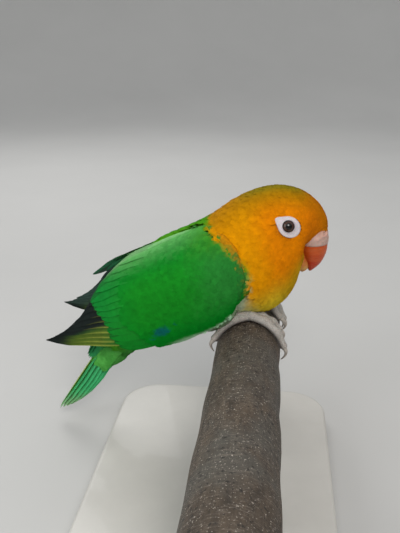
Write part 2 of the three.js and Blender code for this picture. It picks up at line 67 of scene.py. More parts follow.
# Body outline in the middle plane, from the tail's root to the bill's root. Each station: back x and z,
# belly x and z, half width, the widest line's share of the height, and how far the flanks draw back.
BODY = (
    (-68.5, 1, -54, -8.5, 6.5, 0.5, 0),
    (-63, 14, -45.5, -2, 12, 0.5, 0),
    (-53.4, 32.6, -35, 4, 17, 0.5, 0),
    (-41.6, 45, -25, 9, 20, 0.5, 0),
    (-29, 51.6, -13.5, 14.5, 21.2, 0.5, 0),
    (-18, 57.4, -2, 16.2, 21.2, 0.48, 0),
    (-8.5, 64.4, 8.5, 17.2, 20, 0.46, 0),
    (0.8, 69.2, 15.5, 22.8, 17.2, 0.47, 0),
    (10.4, 71.2, 19, 29, 14.8, 0.48, 0),
    (19.2, 69.6, 20.4, 34, 13.2, 0.5, 0.6),
    (26.2, 65, 21.2, 37, 11.4, 0.52, 2),
    (30.2, 59, 22, 38.4, 9.2, 0.53, 4.4),
    (31.4, 53, 23.4, 39.6, 7.2, 0.54, 7),
)
# Station past which the face closes over the bill's root.
FACE_END = 12
# Forms with stations like the body's: the tail's root under its coverts, and the two halves of the bill.
TAIL_CORE = (
    (-68.7, 0.7, -54.2, -8.8, 6.3, 0.5, 0),
    (-70.6, -4.5, -57.2, -12.4, 5.8, 0.5, 0),
    (-72, -9.5, -61.5, -15, 4.4, 0.5, 0),
)
UPPER_BILL = (
    (28.4, 56.4, 19, 49.5, 5.4, 0.5, 0),
    (30.3, 53.9, 19.6, 46.6, 6.1, 0.45, 0),
    (31.2, 50.6, 20.2, 43.6, 6.1, 0.4, 0),
    (31.5, 46.8, 21.4, 41.2, 5.4, 0.36, 0),
    (31, 42.8, 22.6, 39, 4.2, 0.34, 0),
    (29, 38.4, 23.4, 36.8, 2.7, 0.38, 0),
    (25.7, 34.9, 24.2, 34.8, 0.8, 0.5, 0),
)
LOWER_BILL = (
    (23.5, 46.5, 15.5, 43, 4, 0.5, 0),
    (23.4, 43.2, 17, 40.4, 4.6, 0.5, 0),
    (24.1, 40.6, 18.2, 37.6, 4.2, 0.5, 0),
    (24.6, 38.3, 19.4, 35.4, 3.4, 0.5, 0),
    (24.2, 36.4, 21.2, 34.2, 2, 0.5, 0),
)
# Height of the cere's lower edge, and the station up to which the bill's halves run.
CERE_EDGE = 47.2
UPPER_BILL_END = len(UPPER_BILL) - 1
LOWER_BILL_END = len(LOWER_BILL) - 1
NOSTRIL = {"station": 1.35, "turn": 34, "radius": 0.75, "depth": 0.9, "rim": 0.22}

EYE = {"station": 8.22, "turn": 68.5, "radius": 2.9, "sink": 1.5}
RING = {"length": 4.7, "height": 4.1, "corner": 1.8, "sharpness": 9, "forward": 0.5, "pitch": 31}
LID = {"radius": 2.5, "half": 0.32, "height": 0.6, "longer": 1.06}

THIGH = {"at": (-15, 12.3, 19.4), "radii": (10, 7, 7), "tilt": 30}
SHANK = {"heel": (-15.5, 12.6, 14.6), "foot": (0, 11, 18), "radii": (2.2, 2, 2.3)}
FOOT = {"y": 11, "top": 1}
TOES = (
    {"name": "inner_front", "to": 59, "spread": -4.5, "root": 2.1, "end": 1.45, "claw": 18},
    {"name": "outer_front", "to": 76, "spread": 3.2, "root": 2.2, "end": 1.5, "claw": 20},
    {"name": "outer_rear", "to": -66, "spread": 4.2, "root": 2.1, "end": 1.5, "claw": -19},
    {"name": "inner_rear", "to": -46, "spread": -3.4, "root": 1.9, "end": 1.4, "claw": -18},
)
CLAW = {"root": 1.05, "tip": 0.18, "arch": 1.5, "arch_from": 0.15, "gap": 0.36}
GAP = 0.3

# Wing surface, for the +Y side: rows from the bend to the tip, each with the upper edge, the middle and the
# lower edge as x, y, z.
WING = (
    (-5, 15.8, 54.5, 1, 22.3, 38.5, -2, 19.8, 25.5),
    (-17, 10, 58.2, -12, 24.6, 37.5, -11, 21.6, 17.5),
    (-30, 5, 52.2, -25, 25.2, 33, -23, 22, 11.2),
    (-43, 3.6, 45, -38.5, 23.8, 27.5, -38, 21, 5.4),
    (-55, 4.6, 37.5, -52.5, 20.6, 21.5, -54, 18.6, 1.6),
    (-64.5, 8, 28.5, -65.5, 16.8, 14.5, -69, 16, 0.2),
    (-75, 11, 14.6, -77.5, 14.6, 7.5, -81, 14.4, -0.2),
    (-90, 13, 3.2, -90.3, 13.2, 1.9, -90.6, 13.2, 0.6),
)
WING_FLATNESS = 1.4
LEFT_WING = {"root": (0, 0, -3), "tip": (1, 3.5, 7.8), "bend": 2}
TAIL = {"root": (-61.6, -4.2), "tip": (-86.9, -41), "half_width": (6.2, 5.2), "height": (7.2, 4.4),
        "arch": 98, "under": 0.35, "root_spread": 0.8}

PERCH = {"radius": 13.7, "near_radius": 14.8, "taper_from": -22, "near": -146, "far": 34, "edge": 1.2}
BASE = {"corner": 16, "edge": 1.5, "insets": (40, 24, 12, 5, 2.6)}
ROD_RADIUS = 3
# Heights over the base and radii of the rod's foot.
ROD_FOOT = ((0, 4.4), (0.3, 4.7), (1.3, 4.7), (1.6, 4.4), (1.7, ROD_RADIUS + 0.1), (2.0, ROD_RADIUS))

# Step for reading the directions of a surface.
NUDGE = 0.01
ALL_ROUND = (-math.pi, math.pi)


def linear(red, green, blue):
    """A colour of three 0 to 255 numbers as the light values a shader works in."""
    parts = np.array([red, green, blue]) / 255
    return np.where(parts <= 0.04045, parts / 12.92, ((parts + 0.055) / 1.055) ** 2.4)


# Plumage.
FOREHEAD = linear(184, 108, 3)
LORES = linear(200, 110, 3)
CROWN = linear(158, 112, 3)
CROWN_RIM = linear(122, 110, 10)
NAPE = linear(174, 118, 1)
CHEEK = linear(210, 120, 1)
NECK_GOLD = linear(210, 137, 1)
THROAT = linear(192, 150, 16)
BREAST = linear(222, 192, 42)
BREAST_EDGE = linear(232, 236, 160)
BELLY = linear(204, 218, 188)
FLANK = linear(60, 140, 54)
MANTLE = linear(66, 138, 12)
MANTLE_PALE = linear(100, 172, 92)
RUMP = linear(42, 126, 72)
SHOULDER = linear(38, 122, 46)
WING_GREEN = linear(20, 126, 28)
WING_BRIGHT = linear(0, 116, 38)
WING_LOW = linear(0, 110, 24)
WING_FRINGE = linear(150, 182, 150)
WING_RIM = linear(138, 188, 128)
COVERT_BLUE = linear(8, 88, 88)
PRIMARY_DARK = linear(17, 25, 23)
PRIMARY_GREEN = linear(8, 110, 34)
PRIMARY_OLIVE = linear(72, 94, 28)
PRIMARY_EDGE = linear(150, 158, 66)
# Greyer colours for the far wing's large feathers: partly dusky inner webs, partly painted shade.
FAR_DUSKY_SHADED = linear(50, 70, 62)
FAR_GREEN_SHADED = linear(44, 100, 74)
TAIL_GREEN = linear(104, 184, 90)
TAIL_BLUE = linear(64, 174, 108)
TAIL_YELLOW = linear(170, 168, 52)
TAIL_TIP = linear(130, 166, 120)

# Station of the border between the green body and the orange head, by degrees from the back to the belly.
COLLAR = ((0, 5.0), (38, 5.0), (50, 5.2), (60, 5.45), (70, 5.65), (83, 5.95), (93, 5.9), (103, 5.7),
          (116, 5.5), (147, 4.95), (180, 4.7))
# The same border where the neck's feathers lie over the wing, as shares along the wing by shares down it.
WING_COLLAR = ((0, 0.15), (0.2, 0.14), (0.27, 0.09), (0.33, 0.05), (0.4, 0.02), (0.5, 0.01), (1, -0.03))

# Length of the body's feathers and the depth of their coat, at stations of BODY.
COAT_STATIONS = (0, 1.5, 3, 5, 6.5, 7.5, 8.5, 9.5, 10.5, 11.5, 13)
COAT_LENGTH = (10, 9.5, 9, 8, 6.2, 4.6, 3.5, 2.7, 2.1, 1.6, 1.2)
COAT_DEPTH = (1.4, 1.4, 1.5, 1.4, 1.1, 0.8, 0.6, 0.5, 0.4, 0.32, 0.25)
BROW_LENGTH = 1.9
THIGH_LENGTH = 5.5
# The body's coats by stations.
BODY_COATS = {"face": (8.3, 20), "nape": (6.3, 8.3), "shoulders": (4.4, 6.3), "rear": (-2, 4.4)}
# Shares of the bare ring's outline that feathers' roots and tips stay outside of, the share to which one that
# reaches in is shortened each time, and the share of its full length under which it is left out.
ROOTS_OUTSIDE = 0.97
TIPS_OUTSIDE = 0.98
SHORTENED = 0.68
SHORTEST = 0.24

# How close feathers lie along and across their rows, as shares of their length, and how unevenly.
ROW_STEP = 0.2
ROOT_STEP = 0.36
RAGGED = 0.25
# Share of a feather's shading that follows the surface under it, so that the coat looks like one surface.
MERGED = 0.75
# Half a small feather's patch on the coat's unwrap.
PATCH = 0.0015
MOST_TRIANGLES = 190000


def circle(count):
    """Angles evenly round a whole turn."""
    return np.linspace(0, 2 * math.pi, count, endpoint=False)


def smooth(start, end, value):
    f = np.clip((value - start) / (end - start), 0, 1)
    return f * f * (3 - 2 * f)


def blend(first, second, share):
    share = np.asarray(share, float)[..., None]
    return first + (second - first) * share


def unit(vectors):
    return vectors / np.maximum(np.linalg.norm(vectors, axis=-1, keepdims=True), 1e-9)


def along(rows, u):
    """Catmull-Rom through rows of numbers; u counts rows."""
    rows = np.asarray(rows, float)
    padded = np.vstack([2 * rows[0] - rows[1], rows, 2 * rows[-1] - rows[-2]])
    u = np.asarray(u, float)
    i = np.clip(np.floor(u).astype(int), 0, len(rows) - 2)
    f = (u - i)[..., None]
    p, q, r, s = (padded[i + k] for k in range(4))
    return q + 0.5 * f * (r - p + f * (2 * p - 5 * q + 4 * r - s + f * (3 * (q - r) + s - p)))


def loft_point(stations, u, turn, swell=0.0):
    """A point of a lofted form such as BODY: turn runs from the back (0) round the +Y side."""
    back_x, back_z, belly_x, belly_z, width, widest, drawn = np.moveaxis(along(stations, u), -1, 0)
    height = np.hypot(back_x - belly_x, back_z - belly_z)
    rise = np.where(np.cos(turn) > 0, 1 - widest, widest) * height
    reach = widest * height + (rise + swell) * np.cos(turn)
    x = belly_x + (back_x - belly_x) / height * reach - drawn * np.sin(turn) ** 2
    z = belly_z + (back_z - belly_z) / height * reach
    return np.stack([x, (width + swell) * np.sin(turn), z], -1)


def body_point(u, turn):
    """The body's surface, which past the face closes over the bill's root."""
    past = np.clip(u - FACE_END, 0, 1)
    rim = loft_point(BODY, np.minimum(u, FACE_END), turn)
    middle = loft_point(BODY, np.full_like(rim[..., 0], FACE_END), np.full_like(rim[..., 0], np.pi / 2))
    middle[..., 1] = 0
    return rim + (middle - rim) * past[..., None]


def wing_point(side):
    """One side's wing: t runs from the bend to the tip, and v from the upper edge to the lower."""
    def point(t, v):
        row = along(WING, t * (len(WING) - 1))
        upper, middle, lower = row[..., :3], row[..., 3:6], row[..., 6:]
        to_edge = np.where((v < 0.5)[..., None], upper, lower) - middle
        down = np.abs(np.cos(np.pi * v))
        inward = 1 - np.maximum(0, np.sin(np.pi * v)) ** WING_FLATNESS
        at = middle + to_edge * np.stack([down, inward, down], -1)
        if side > 0:
            share = np.maximum(0, t)[..., None] ** LEFT_WING["bend"]
            at = at + np.array(LEFT_WING["root"]) * (1 - share) + np.array(LEFT_WING["tip"]) * share
        return at * np.array([1, side, 1])
    return point


def mix(pair, f):
    return pair[0] + (pair[1] - pair[0]) * f


def tail_point(t, v):
    """The tail's roof: t runs from its root to its tip, and v from its -Y edge (-1) to its +Y edge (1)."""
    root = np.array([TAIL["root"][0], 0, TAIL["root"][1]])
    line = np.array([TAIL["tip"][0], 0, TAIL["tip"][1]]) - root
    back = unit(np.array([line[2], 0, -line[0]]))
    turn = v * TAIL["arch"] * DEGREE
    high = mix(TAIL["height"], t) * (np.cos(turn) - TAIL["under"])
    wide = mix(TAIL["half_width"], t) * np.sin(turn)
    return root + line * t[..., None] + back * high[..., None] + np.array([0, 1, 0]) * wide[..., None]


def thigh_point(side):
    """The thigh's surface: p runs from its front top end (0) to its lower rear end (1), and turn round it."""
    tilt = THIGH["tilt"] * DEGREE

    def point(p, turn):
        x = np.cos(np.pi * p) * THIGH["radii"][0]
        y = np.sin(np.pi * p) * np.sin(turn) * THIGH["radii"][1]
        z = np.sin(np.pi * p) * np.cos(turn) * THIGH["radii"][2]
        turned_x = x * math.cos(tilt) - z * math.sin(tilt)
        turned_z = x * math.sin(tilt) + z * math.cos(tilt)
        local = np.stack([turned_x, y, turned_z], -1)
        return (local + np.array(THIGH["at"])) * np.array([1, side, 1])
    return point


class Surface:
    """A surface read at two places, with its outward side and its place on the coat's unwrap."""

    def __init__(self, point, outward, atlas, a_range, b_range):
        self.point = point
        self.outward = outward
        self.atlas = atlas
        self.a_range = a_range
        self.b_range = b_range

    def steps(self, a, b):
        """How the surface moves for a whole step of a and of b."""
        along_a = (self.point(a + NUDGE, b) - self.point(a - NUDGE, b)) / (2 * NUDGE)
        along_b = (self.point(a, b + NUDGE) - self.point(a, b - NUDGE)) / (2 * NUDGE)
        return along_a, along_b

    def read(self, a, b):
        """The surface's point and outward direction."""
        along_a, along_b = self.steps(a, b)
        return self.point(a, b), unit(np.cross(along_a, along_b)) * self.outward

    def shift(self, a, b, move):
        """The change of a and b that moves a point of the surface by a vector."""
        along_a, along_b = self.steps(a, b)
        size_a = np.maximum((along_a * along_a).sum(-1), 1)
        size_b = np.maximum((along_b * along_b).sum(-1), 25)
        return np.stack([(move * along_a).sum(-1) / size_a, (move * along_b).sum(-1) / size_b], -1)

    def unwrap(self, a, b):
        left, low, right, high = self.atlas
        across = (a - self.a_range[0]) / (self.a_range[1] - self.a_range[0])
        up = (b - self.b_range[0]) / (self.b_range[1] - self.b_range[0])
        return np.stack([left + (right - left) * across, low + (high - low) * up], -1)


def lofted(stations, outward=1, atlas=(0, 0, 1, 1), a_range=(0, 1), b_range=(0, 1)):
    return Surface(lambda u, turn: loft_point(stations, u, turn), outward, atlas, a_range, b_range)


body = Surface(body_point, 1, (0.01, 0.01, 0.6, 0.99), (-0.2, 13), ALL_ROUND)
tail_core = lofted(TAIL_CORE, -1, (0.62, 0.02, 0.7, 0.4), (-0.3, 2.2), ALL_ROUND)
tail = Surface(tail_point, -1, (0.72, 0.02, 0.98, 0.25), (-0.3, 1.1), (-1.2, 1.2))
bill_top = lofted(UPPER_BILL, 1, (0.8, 0.28, 0.98, 0.4), (-1, 1.9), (-1.2, 1.2))
upper_bill = lofted(UPPER_BILL)
lower_bill = lofted(LOWER_BILL)
wings = {
    "right": Surface(wing_point(-1), 1, (0.62, 0.42, 0.98, 0.59), (-0.1, 1.1), (-0.1, 1.1)),
    "left": Surface(wing_point(1), -1, (0.62, 0.61, 0.98, 0.78), (-0.1, 1.1), (-0.1, 1.1)),
}
thighs = {
    "right": Surface(thigh_point(-1), -1, (0.62, 0.8, 0.78, 0.98), (0, 1), ALL_ROUND),
    "left": Surface(thigh_point(1), 1, (0.8, 0.8, 0.98, 0.98), (0, 1), ALL_ROUND),
}


class Vane:
    """A thin closed vane: each vertex has a row, a place across, a step past its row and a height."""

    def __init__(self, rows, columns, outline, point, tooth, ridge=0.0):
        self.q = np.linspace(0, 1, rows + 1) ** 0.85
        spread = np.linspace(-1, 1, columns)
        width = np.interp(self.q, *zip(*outline))
        row = [0]
        across = [0.0]
        ahead = [0.0]
        high = [0.0]
        for r in range(1, rows + 1):
            for c, x in enumerate(spread):
                tip = r == rows
                row.append(r)
                across.append(x * width[r])
                notch = tooth * (0.5 + 0.5 * math.cos(math.pi * c)) if tip else 0.0
                ahead.append(-point * x * x * self.q[r] ** 3 - notch)
                rim = tip or abs(x) == 1
                crest = ridge * max(0.0, 1 - abs(x) * (columns - 1) / 2)
                high.append(0.0 if rim else 1 - x * x + crest)
        self.top = len(row)
        for r in range(1, rows):
            row.append(r)
            across.append(0.0)
            ahead.append(0.0)
            high.append(-0.6)
        self.row = np.array(row)
        self.across = np.array(across)
        self.ahead = np.array(ahead)
        self.high = np.array(high)
        self.faces = np.array(self.triangles(rows, columns))

    def triangles(self, rows, columns):
        def top(r, c):
            return 1 + (r - 1) * columns + c

        def under(r):
            return self.top + r - 1

        last = columns - 1
        self.top_faces = last * (2 * rows - 1)
        faces = [(0, top(1, c + 1), top(1, c)) for c in range(last)]
        for r in range(1, rows):
            for c in range(last):
                faces.append((top(r, c), top(r, c + 1), top(r + 1, c + 1)))
                faces.append((top(r, c), top(r + 1, c + 1), top(r + 1, c)))
        faces += [(0, top(1, 0), under(1)), (0, under(1), top(1, last))]
        for r in range(1, rows - 1):
            faces.append((top(r, 0), top(r + 1, 0), under(r + 1)))
            faces.append((top(r, 0), under(r + 1), under(r)))
            faces.append((under(r), under(r + 1), top(r + 1, last)))
            faces.append((under(r), top(r + 1, last), top(r, last)))
        end = under(rows - 1)
        faces.append((top(rows - 1, 0), top(rows, 0), end))
        faces += [(end, top(rows, c), top(rows, c + 1)) for c in range(last)]
        faces.append((end, top(rows, last), top(rows - 1, last)))
        return faces


# Vane shapes: rows, columns, half width by share of the length, how far the sides lag behind the tip, the
# depth of the tip's notches, and the height of the shaft's ridge.
SOFT = Vane(4, 9, ((0, 0.3), (0.3, 0.8), (0.6, 1), (0.85, 0.9), (1, 0.62)), 0.12, 0.1)
SMALL = Vane(3, 7, ((0, 0.3), (0.35, 0.85), (0.65, 1), (1, 0.6)), 0.14, 0.1)
COVERT = Vane(7, 11, ((0, 0.35), (0.25, 0.8), (0.6, 1), (0.85, 0.92), (1, 0.6)), 0.1, 0.02, 0.35)
QUILL = Vane(18, 13, ((0, 0.4), (0.2, 0.82), (0.45, 1), (0.8, 0.86), (0.93, 0.6), (1, 0.3)),
             0.03, 0.006, 0.5)
POINTED = Vane(20, 13, ((0, 0.45), (0.25, 0.9), (0.5, 1), (0.78, 0.8), (0.92, 0.46), (1, 0.14)),
               0.02, 0.004, 0.5)


class Feathers:
    """Feathers of one vane shape laid on a surface, with what a mesh of them needs."""

    def __init__(self, surface, vane, root, tip, half, lift=0.0, rise=0.0, sink=1.0, roll=0.0, bow=0.12,
                 thickness=0.2, dip=None):
        count = len(root)
        q = vane.q
        place = root[:, None, :] + (tip - root)[:, None, :] * q[None, :, None]
        at, out = surface.read(place[..., 0], place[..., 1])
        columns = [np.broadcast_to(value, count)[:, None] for value in (lift, rise, sink, roll, half)]
        lift, rise, sink, roll, half = columns
        raised = lift + rise * q ** 3 - sink * np.maximum(0, 1 - q / 0.75) ** 1.5
        if dip:
            raised = raised - dip(place[..., 0], place[..., 1])
        at = at + out * raised[..., None]
        ahead = unit(np.gradient(at, axis=1))
        side = unit(np.cross(ahead, out))
        up = np.cross(side, ahead)
        turned = roll[..., None] * DEGREE
        side, up = side * np.cos(turned) + up * np.sin(turned), up * np.cos(turned) - side * np.sin(turned)
        length = np.linalg.norm(at[:, -1] - at[:, 0], axis=-1)
        r = vane.row
        across = vane.across * half
        high = thickness * vane.high - bow * half * vane.across ** 2
        self.points = (at[:, r] + side[:, r] * across[..., None] + up[:, r] * high[..., None]
                       + ahead[:, r] * (vane.ahead * length[:, None])[..., None])
        self.facing = unit(out[:, r] * MERGED + up[:, r] * (1 - MERGED))
        self.faces = vane.faces
        self.vane = vane
        self.q = q[r]
        self.root = root
        self.place = place[:, r] + surface.shift(place[..., 0], place[..., 1], side)[:, r] * across[..., None]
        chance = rng.random(count)
        chances = np.broadcast_to(chance[:, None], across.shape)
        self.grain = np.stack([across, self.q * length[:, None], chances], -1)
        centre = surface.unwrap(root[:, 0], root[:, 1])
        patch = np.stack([vane.across, 2 * self.q - 1], -1) * PATCH
        self.bake = centre[:, None, :] + patch[None]
        self.tint = None

    def paint(self, colour, painted_root_shade=0.2, pale_edge=0.03, chance=0.04):
        """Tints the feathers, darker at the root as painted shade where the feathers above cover it, paler at
        the rim and a little by chance.

        The colours are one for each feather or one for each of its vertices.
        """
        if colour.ndim == 2:
            colour = colour[:, None, :]
        # Painted shade: each feather darker towards its root, where the feathers above lie over it.
        shade = 1 - painted_root_shade * (1 - self.q) ** 1.5
        rim = np.clip((np.abs(self.vane.across) - 0.6) / 0.4, 0, 1) + np.clip((self.q - 0.85) / 0.15, 0, 1)
        shade = shade * (1 + pale_edge * np.minimum(rim, 1))
        vary = 1 + chance * rng.standard_normal((len(self.root), 1, 1))
        self.tint = np.clip(colour * shade[None, :, None] * vary, 0, 1)


def lengthwise(surface, a, b, length, lie, drift=0.0):
    """The tips of feathers that point along a in the direction of lie, drifting by a share to b."""
    along_a, along_b = surface.steps(a, b)
    step = unit(along_a) * lie + unit(along_b) * np.asarray(drift)[..., None]
    return np.stack([a, b], -1) + surface.shift(a, b, unit(step) * length[..., None])


def staggered(surface, a_span, b_span, length_at, closed=False):
    """Roots in staggered rows across a surface, as close as the feathers' length asks."""
    samples = np.linspace(b_span[0], b_span[1], 73)
    places = []
    a = a_span[0]
    row = 0
    while a < a_span[1]:
        length = float(length_at(a))
        along_a, along_b = surface.steps(np.full_like(samples, a), samples)
        size_a = np.linalg.norm(along_a, axis=-1)
        size_b = np.linalg.norm(along_b, axis=-1)
        widths = (size_b[1:] + size_b[:-1]) / 2 * np.diff(samples)
        run = np.concatenate([[0], np.cumsum(widths)])
        count = max(3, round(run[-1] / (ROOT_STEP * length)))
        shift = 0.5 * (row % 2)
        marks = (np.arange(count) + shift + RAGGED * rng.uniform(-1, 1, count)) / count
        b = np.interp((marks % 1 if closed else np.clip(marks, 0, 1)) * run[-1], run, samples)
        widest = np.percentile(size_a, 85)
        local = np.interp(b, samples, size_a)
        kept = rng.random(count) < np.maximum(0.5, local / widest) + 0.15
        step = ROW_STEP * length / widest
        jitter = a + RAGGED * step * rng.uniform(-1, 1, count)
        places.append(np.stack([jitter, b], -1)[kept])
        a += step
        row += 1
    return np.concatenate(places)


def point_tree(points):
    """A tree that finds the nearest of some points."""
    tree = KDTree(len(points))
    for k, p in enumerate(points):
        tree.insert(p, k)
    tree.balance()
    return tree


def linked(name, data):
    """A new object in the scene."""
    made = bpy.data.objects.new(name, data)
    bpy.context.scene.collection.objects.link(made)
    return made


def mesh_object(name, points, faces, material):
    """A smooth mesh object from points in the bird's millimetres and triangles."""
    mesh = bpy.data.meshes.new(name)
    mesh.vertices.add(len(points))
    mesh.vertices.foreach_set("co", ((np.asarray(points) + BIRD) * MM).astype(np.float32).ravel())
    mesh.loops.add(faces.size)
    mesh.loops.foreach_set("vertex_index", faces.astype(np.int32).ravel())
    mesh.polygons.add(len(faces))
    mesh.polygons.foreach_set("loop_start", np.arange(0, faces.size, 3, dtype=np.int32))
    mesh.polygons.foreach_set("use_smooth", np.full(len(faces), True))
    mesh.update(calc_edges=True)
    mesh.validate()
    mesh.materials.append(material)
    made = linked(name, mesh)
    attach(made, "root")
    return made


def store(mesh, name, kind, values):
    """Keeps one value for each vertex under a name that the materials read."""
    attribute = mesh.attributes.new(name, kind, "POINT")
    key = "color" if kind == "FLOAT_COLOR" else "vector"
    attribute.data.foreach_set(key, np.asarray(values, dtype=np.float32).ravel())


def store_tint(mesh, colours):
    opaque = np.ones((len(colours), 1))
    store(mesh, "tint", "FLOAT_COLOR", np.hstack([colours, opaque]))


def coat(name, groups, material):
    """Joins groups of feathers into one or more pieces, each under the most triangles that one may have.

    Their upper sides are shaded mostly like the surface that they lie on, so that they merge.
    """
    points, tint, grain, bake, facing = (
        np.concatenate([getattr(g, key).reshape(-1, size) for g in groups])
        for key, size in (("points", 3), ("tint", 3), ("grain", 3), ("bake", 2), ("facing", 3))
    )
    faces = []
    on_top = []
    start = 0
    for g in groups:
        count, size = g.points.shape[:2]
        offsets = start + size * np.arange(count)
        faces.append((g.faces[None] + offsets[:, None, None]).reshape(-1, 3))
        on_top.append(np.tile(np.arange(len(g.faces)) < g.vane.top_faces, count))
        start += count * size
    faces = np.concatenate(faces)
    on_top = np.concatenate(on_top)
    parts = math.ceil(len(faces) / MOST_TRIANGLES)
    for k, (share, top) in enumerate(zip(np.array_split(faces, parts), np.array_split(on_top, parts))):
        used, renumbered = np.unique(share, return_inverse=True)
        label = name if parts == 1 else f"{name}_{k + 1}"
        piece = mesh_object(label, points[used], renumbered.reshape(-1, 3), material)
        store_tint(piece.data, tint[used])
        store(piece.data, "grain", "FLOAT_VECTOR", grain[used])
        layer = piece.data.uv_layers.new(name="OFBake")
        order = np.empty(len(piece.data.loops), dtype=np.int32)
        piece.data.loops.foreach_get("vertex_index", order)
        layer.data.foreach_set("uv", bake[used][order].astype(np.float32).ravel())
        corners = facing[share] * top[:, None, None]
        piece.data.normals_split_custom_set(corners.reshape(-1, 3).tolist())


# Materials.
class Shader:
    """A material of nodes round one Principled shader."""

    def __init__(self, name, **sockets):
        self.material = bpy.data.materials.new(name)
        self.material.use_nodes = True
        self.nodes = self.material.node_tree.nodes
        self.links = self.material.node_tree.links
        self.surface = self.nodes["Principled BSDF"]
        self.place = self.node("ShaderNodeTexCoord").outputs["Object"]
        for socket, value in sockets.items():
            self.set(self.surface, socket.replace("_", " "), value)

    def set(self, node, socket, value):
        target = node.inputs[socket]
        if isinstance(value, bpy.types.NodeSocket):
            self.links.new(value, target)
        else:
            target.default_value = value

    def node(self, kind, inputs=None, **settings):
        made = self.nodes.new(kind)
        for key, value in settings.items():
            setattr(made, key, value)
        for socket, value in (inputs or {}).items():
            self.set(made, socket, value)
        return made

    def math(self, operation, *values):
        made = self.node("ShaderNodeMath", operation=operation)
        for k, value in enumerate(values):
            self.set(made, k, value)
        return made.outputs[0]

    def noise(self, scale, detail=3.0, roughness=0.55, vector=None):
        """Noise of one scale, or stretched by three, over the object's own place unless told a vector."""
        if vector is None:
            vector = self.place
        if not isinstance(scale, (int, float)):
            stretched = self.node("ShaderNodeVectorMath", {0: vector, 1: scale}, operation="MULTIPLY")
            vector, scale = stretched.outputs[0], 1
        inputs = {"Vector": vector, "Scale": scale, "Detail": detail, "Roughness": roughness}
        return self.node("ShaderNodeTexNoise", inputs).outputs["Fac"]

    def cells(self, scale, feature="DISTANCE_TO_EDGE"):
        made = self.node("ShaderNodeTexVoronoi", {"Vector": self.place, "Scale": scale}, feature=feature)
        return made.outputs["Distance"]

    def ramp(self, value, *stops):
        made = self.node("ShaderNodeValToRGB", {"Fac": value})
        elements = made.color_ramp.elements
        while len(elements) < len(stops):
            elements.new(0.5)
        for element, (position, colour) in zip(elements, stops):
            element.position = position
            shade = (colour,) * 3 if isinstance(colour, (int, float)) else tuple(colour)
            element.color = (*shade, 1)
        return made.outputs["Color"]

    def mixed(self, share, first, second, kind="MIX"):
        made = self.node("ShaderNodeMix", data_type="RGBA", blend_type=kind)
        self.set(made, 0, share)
        for k, value in ((6, first), (7, second)):
            if not isinstance(value, bpy.types.NodeSocket):
                value = (*value, 1)
            self.set(made, k, value)
        return made.outputs[2]

    def times(self, colour, shade):
        return self.mixed(1.0, colour, shade, "MULTIPLY")

    def tinted(self):
        return self.node("ShaderNodeAttribute", attribute_name="tint").outputs["Color"]

    def finished(self, colour, height=None, distance=0, strength=1.0):
        """The material with its colour, and with a relief as deep as a distance in millimetres."""
        self.set(self.surface, "Base Color", colour)
        if height:
            inputs = {"Height": height, "Distance": distance * MM, "Strength": strength}
            self.set(self.surface, "Normal", self.node("ShaderNodeBump", inputs).outputs[0])
        return self.material


def mottled(name, noise, stops, relief=None, colour=None, **sockets):
    """A material of the tint or of one colour, mottled by noise, with a relief.

    The relief is a kind of texture with its scale, its depth in millimetres and its strength.
    """
    shader = Shader(name, **sockets)
    shade = shader.ramp(shader.noise(*noise), *stops)
    shaded = shader.times(shader.tinted() if colour is None else colour, shade)
    if relief is None:
        return shader.finished(shaded)
    kind, scale, distance, strength = relief
    height = shader.noise(*scale) if kind == "noise" else shader.cells(*scale)
    return shader.finished(shaded, height, distance, strength)


def feather_material(name, barb, shaft, roughness, specular):
    """Feathers: barbs slant from the shaft to the edge, and the tint carries the markings."""
    shader = Shader(name, Roughness=roughness, Specular_IOR_Level=specular)
    grain = shader.node("ShaderNodeAttribute", attribute_name="grain").outputs["Vector"]
    parts = shader.node("ShaderNodeSeparateXYZ", {0: grain}).outputs
    outward = shader.math("ABSOLUTE", parts[0])
    slant = shader.math("SUBTRACT", parts[1], outward)
    wander = shader.math("MULTIPLY", shader.noise(1.1, vector=grain), barb * 2)
    phase = shader.math("ADD", slant, wander)
    lines = shader.math("SINE", shader.math("MULTIPLY", phase, 2 * math.pi / barb))
    soft = shader.math("MULTIPLY_ADD", lines, 0.06, 0.97)
    mottle = shader.ramp(shader.noise(420, 4), (0.3, 0.86), (0.7, 1.1))
    colour = shader.times(shader.tinted(), mottle)
    line_shade = shader.node("ShaderNodeCombineXYZ", {0: soft, 1: soft, 2: soft}).outputs[0]
    colour = shader.times(colour, line_shade)
    if shaft:
        on_shaft = shader.math("LESS_THAN", outward, shaft)
        dark = shader.times(colour, (0.35, 0.33, 0.3))
        colour = shader.mixed(shader.math("MULTIPLY", on_shaft, 0.7), colour, dark)
    return shader.finished(colour, lines, 0.05, 0.5)


DOWN = feather_material("soft_feathers", 0.28, 0, 0.85, 0.04)
FLIGHT = feather_material("flight_feathers", 0.42, 0.16, 0.6, 0.1)
SKIN_LOOK = mottled("feathered_skin", (900, 4), ((0.3, 0.7), (0.75, 1.05)), ("cells", (700, "F1"), 0.2, 1.0),
                    Roughness=0.9, Specular_IOR_Level=0.1)


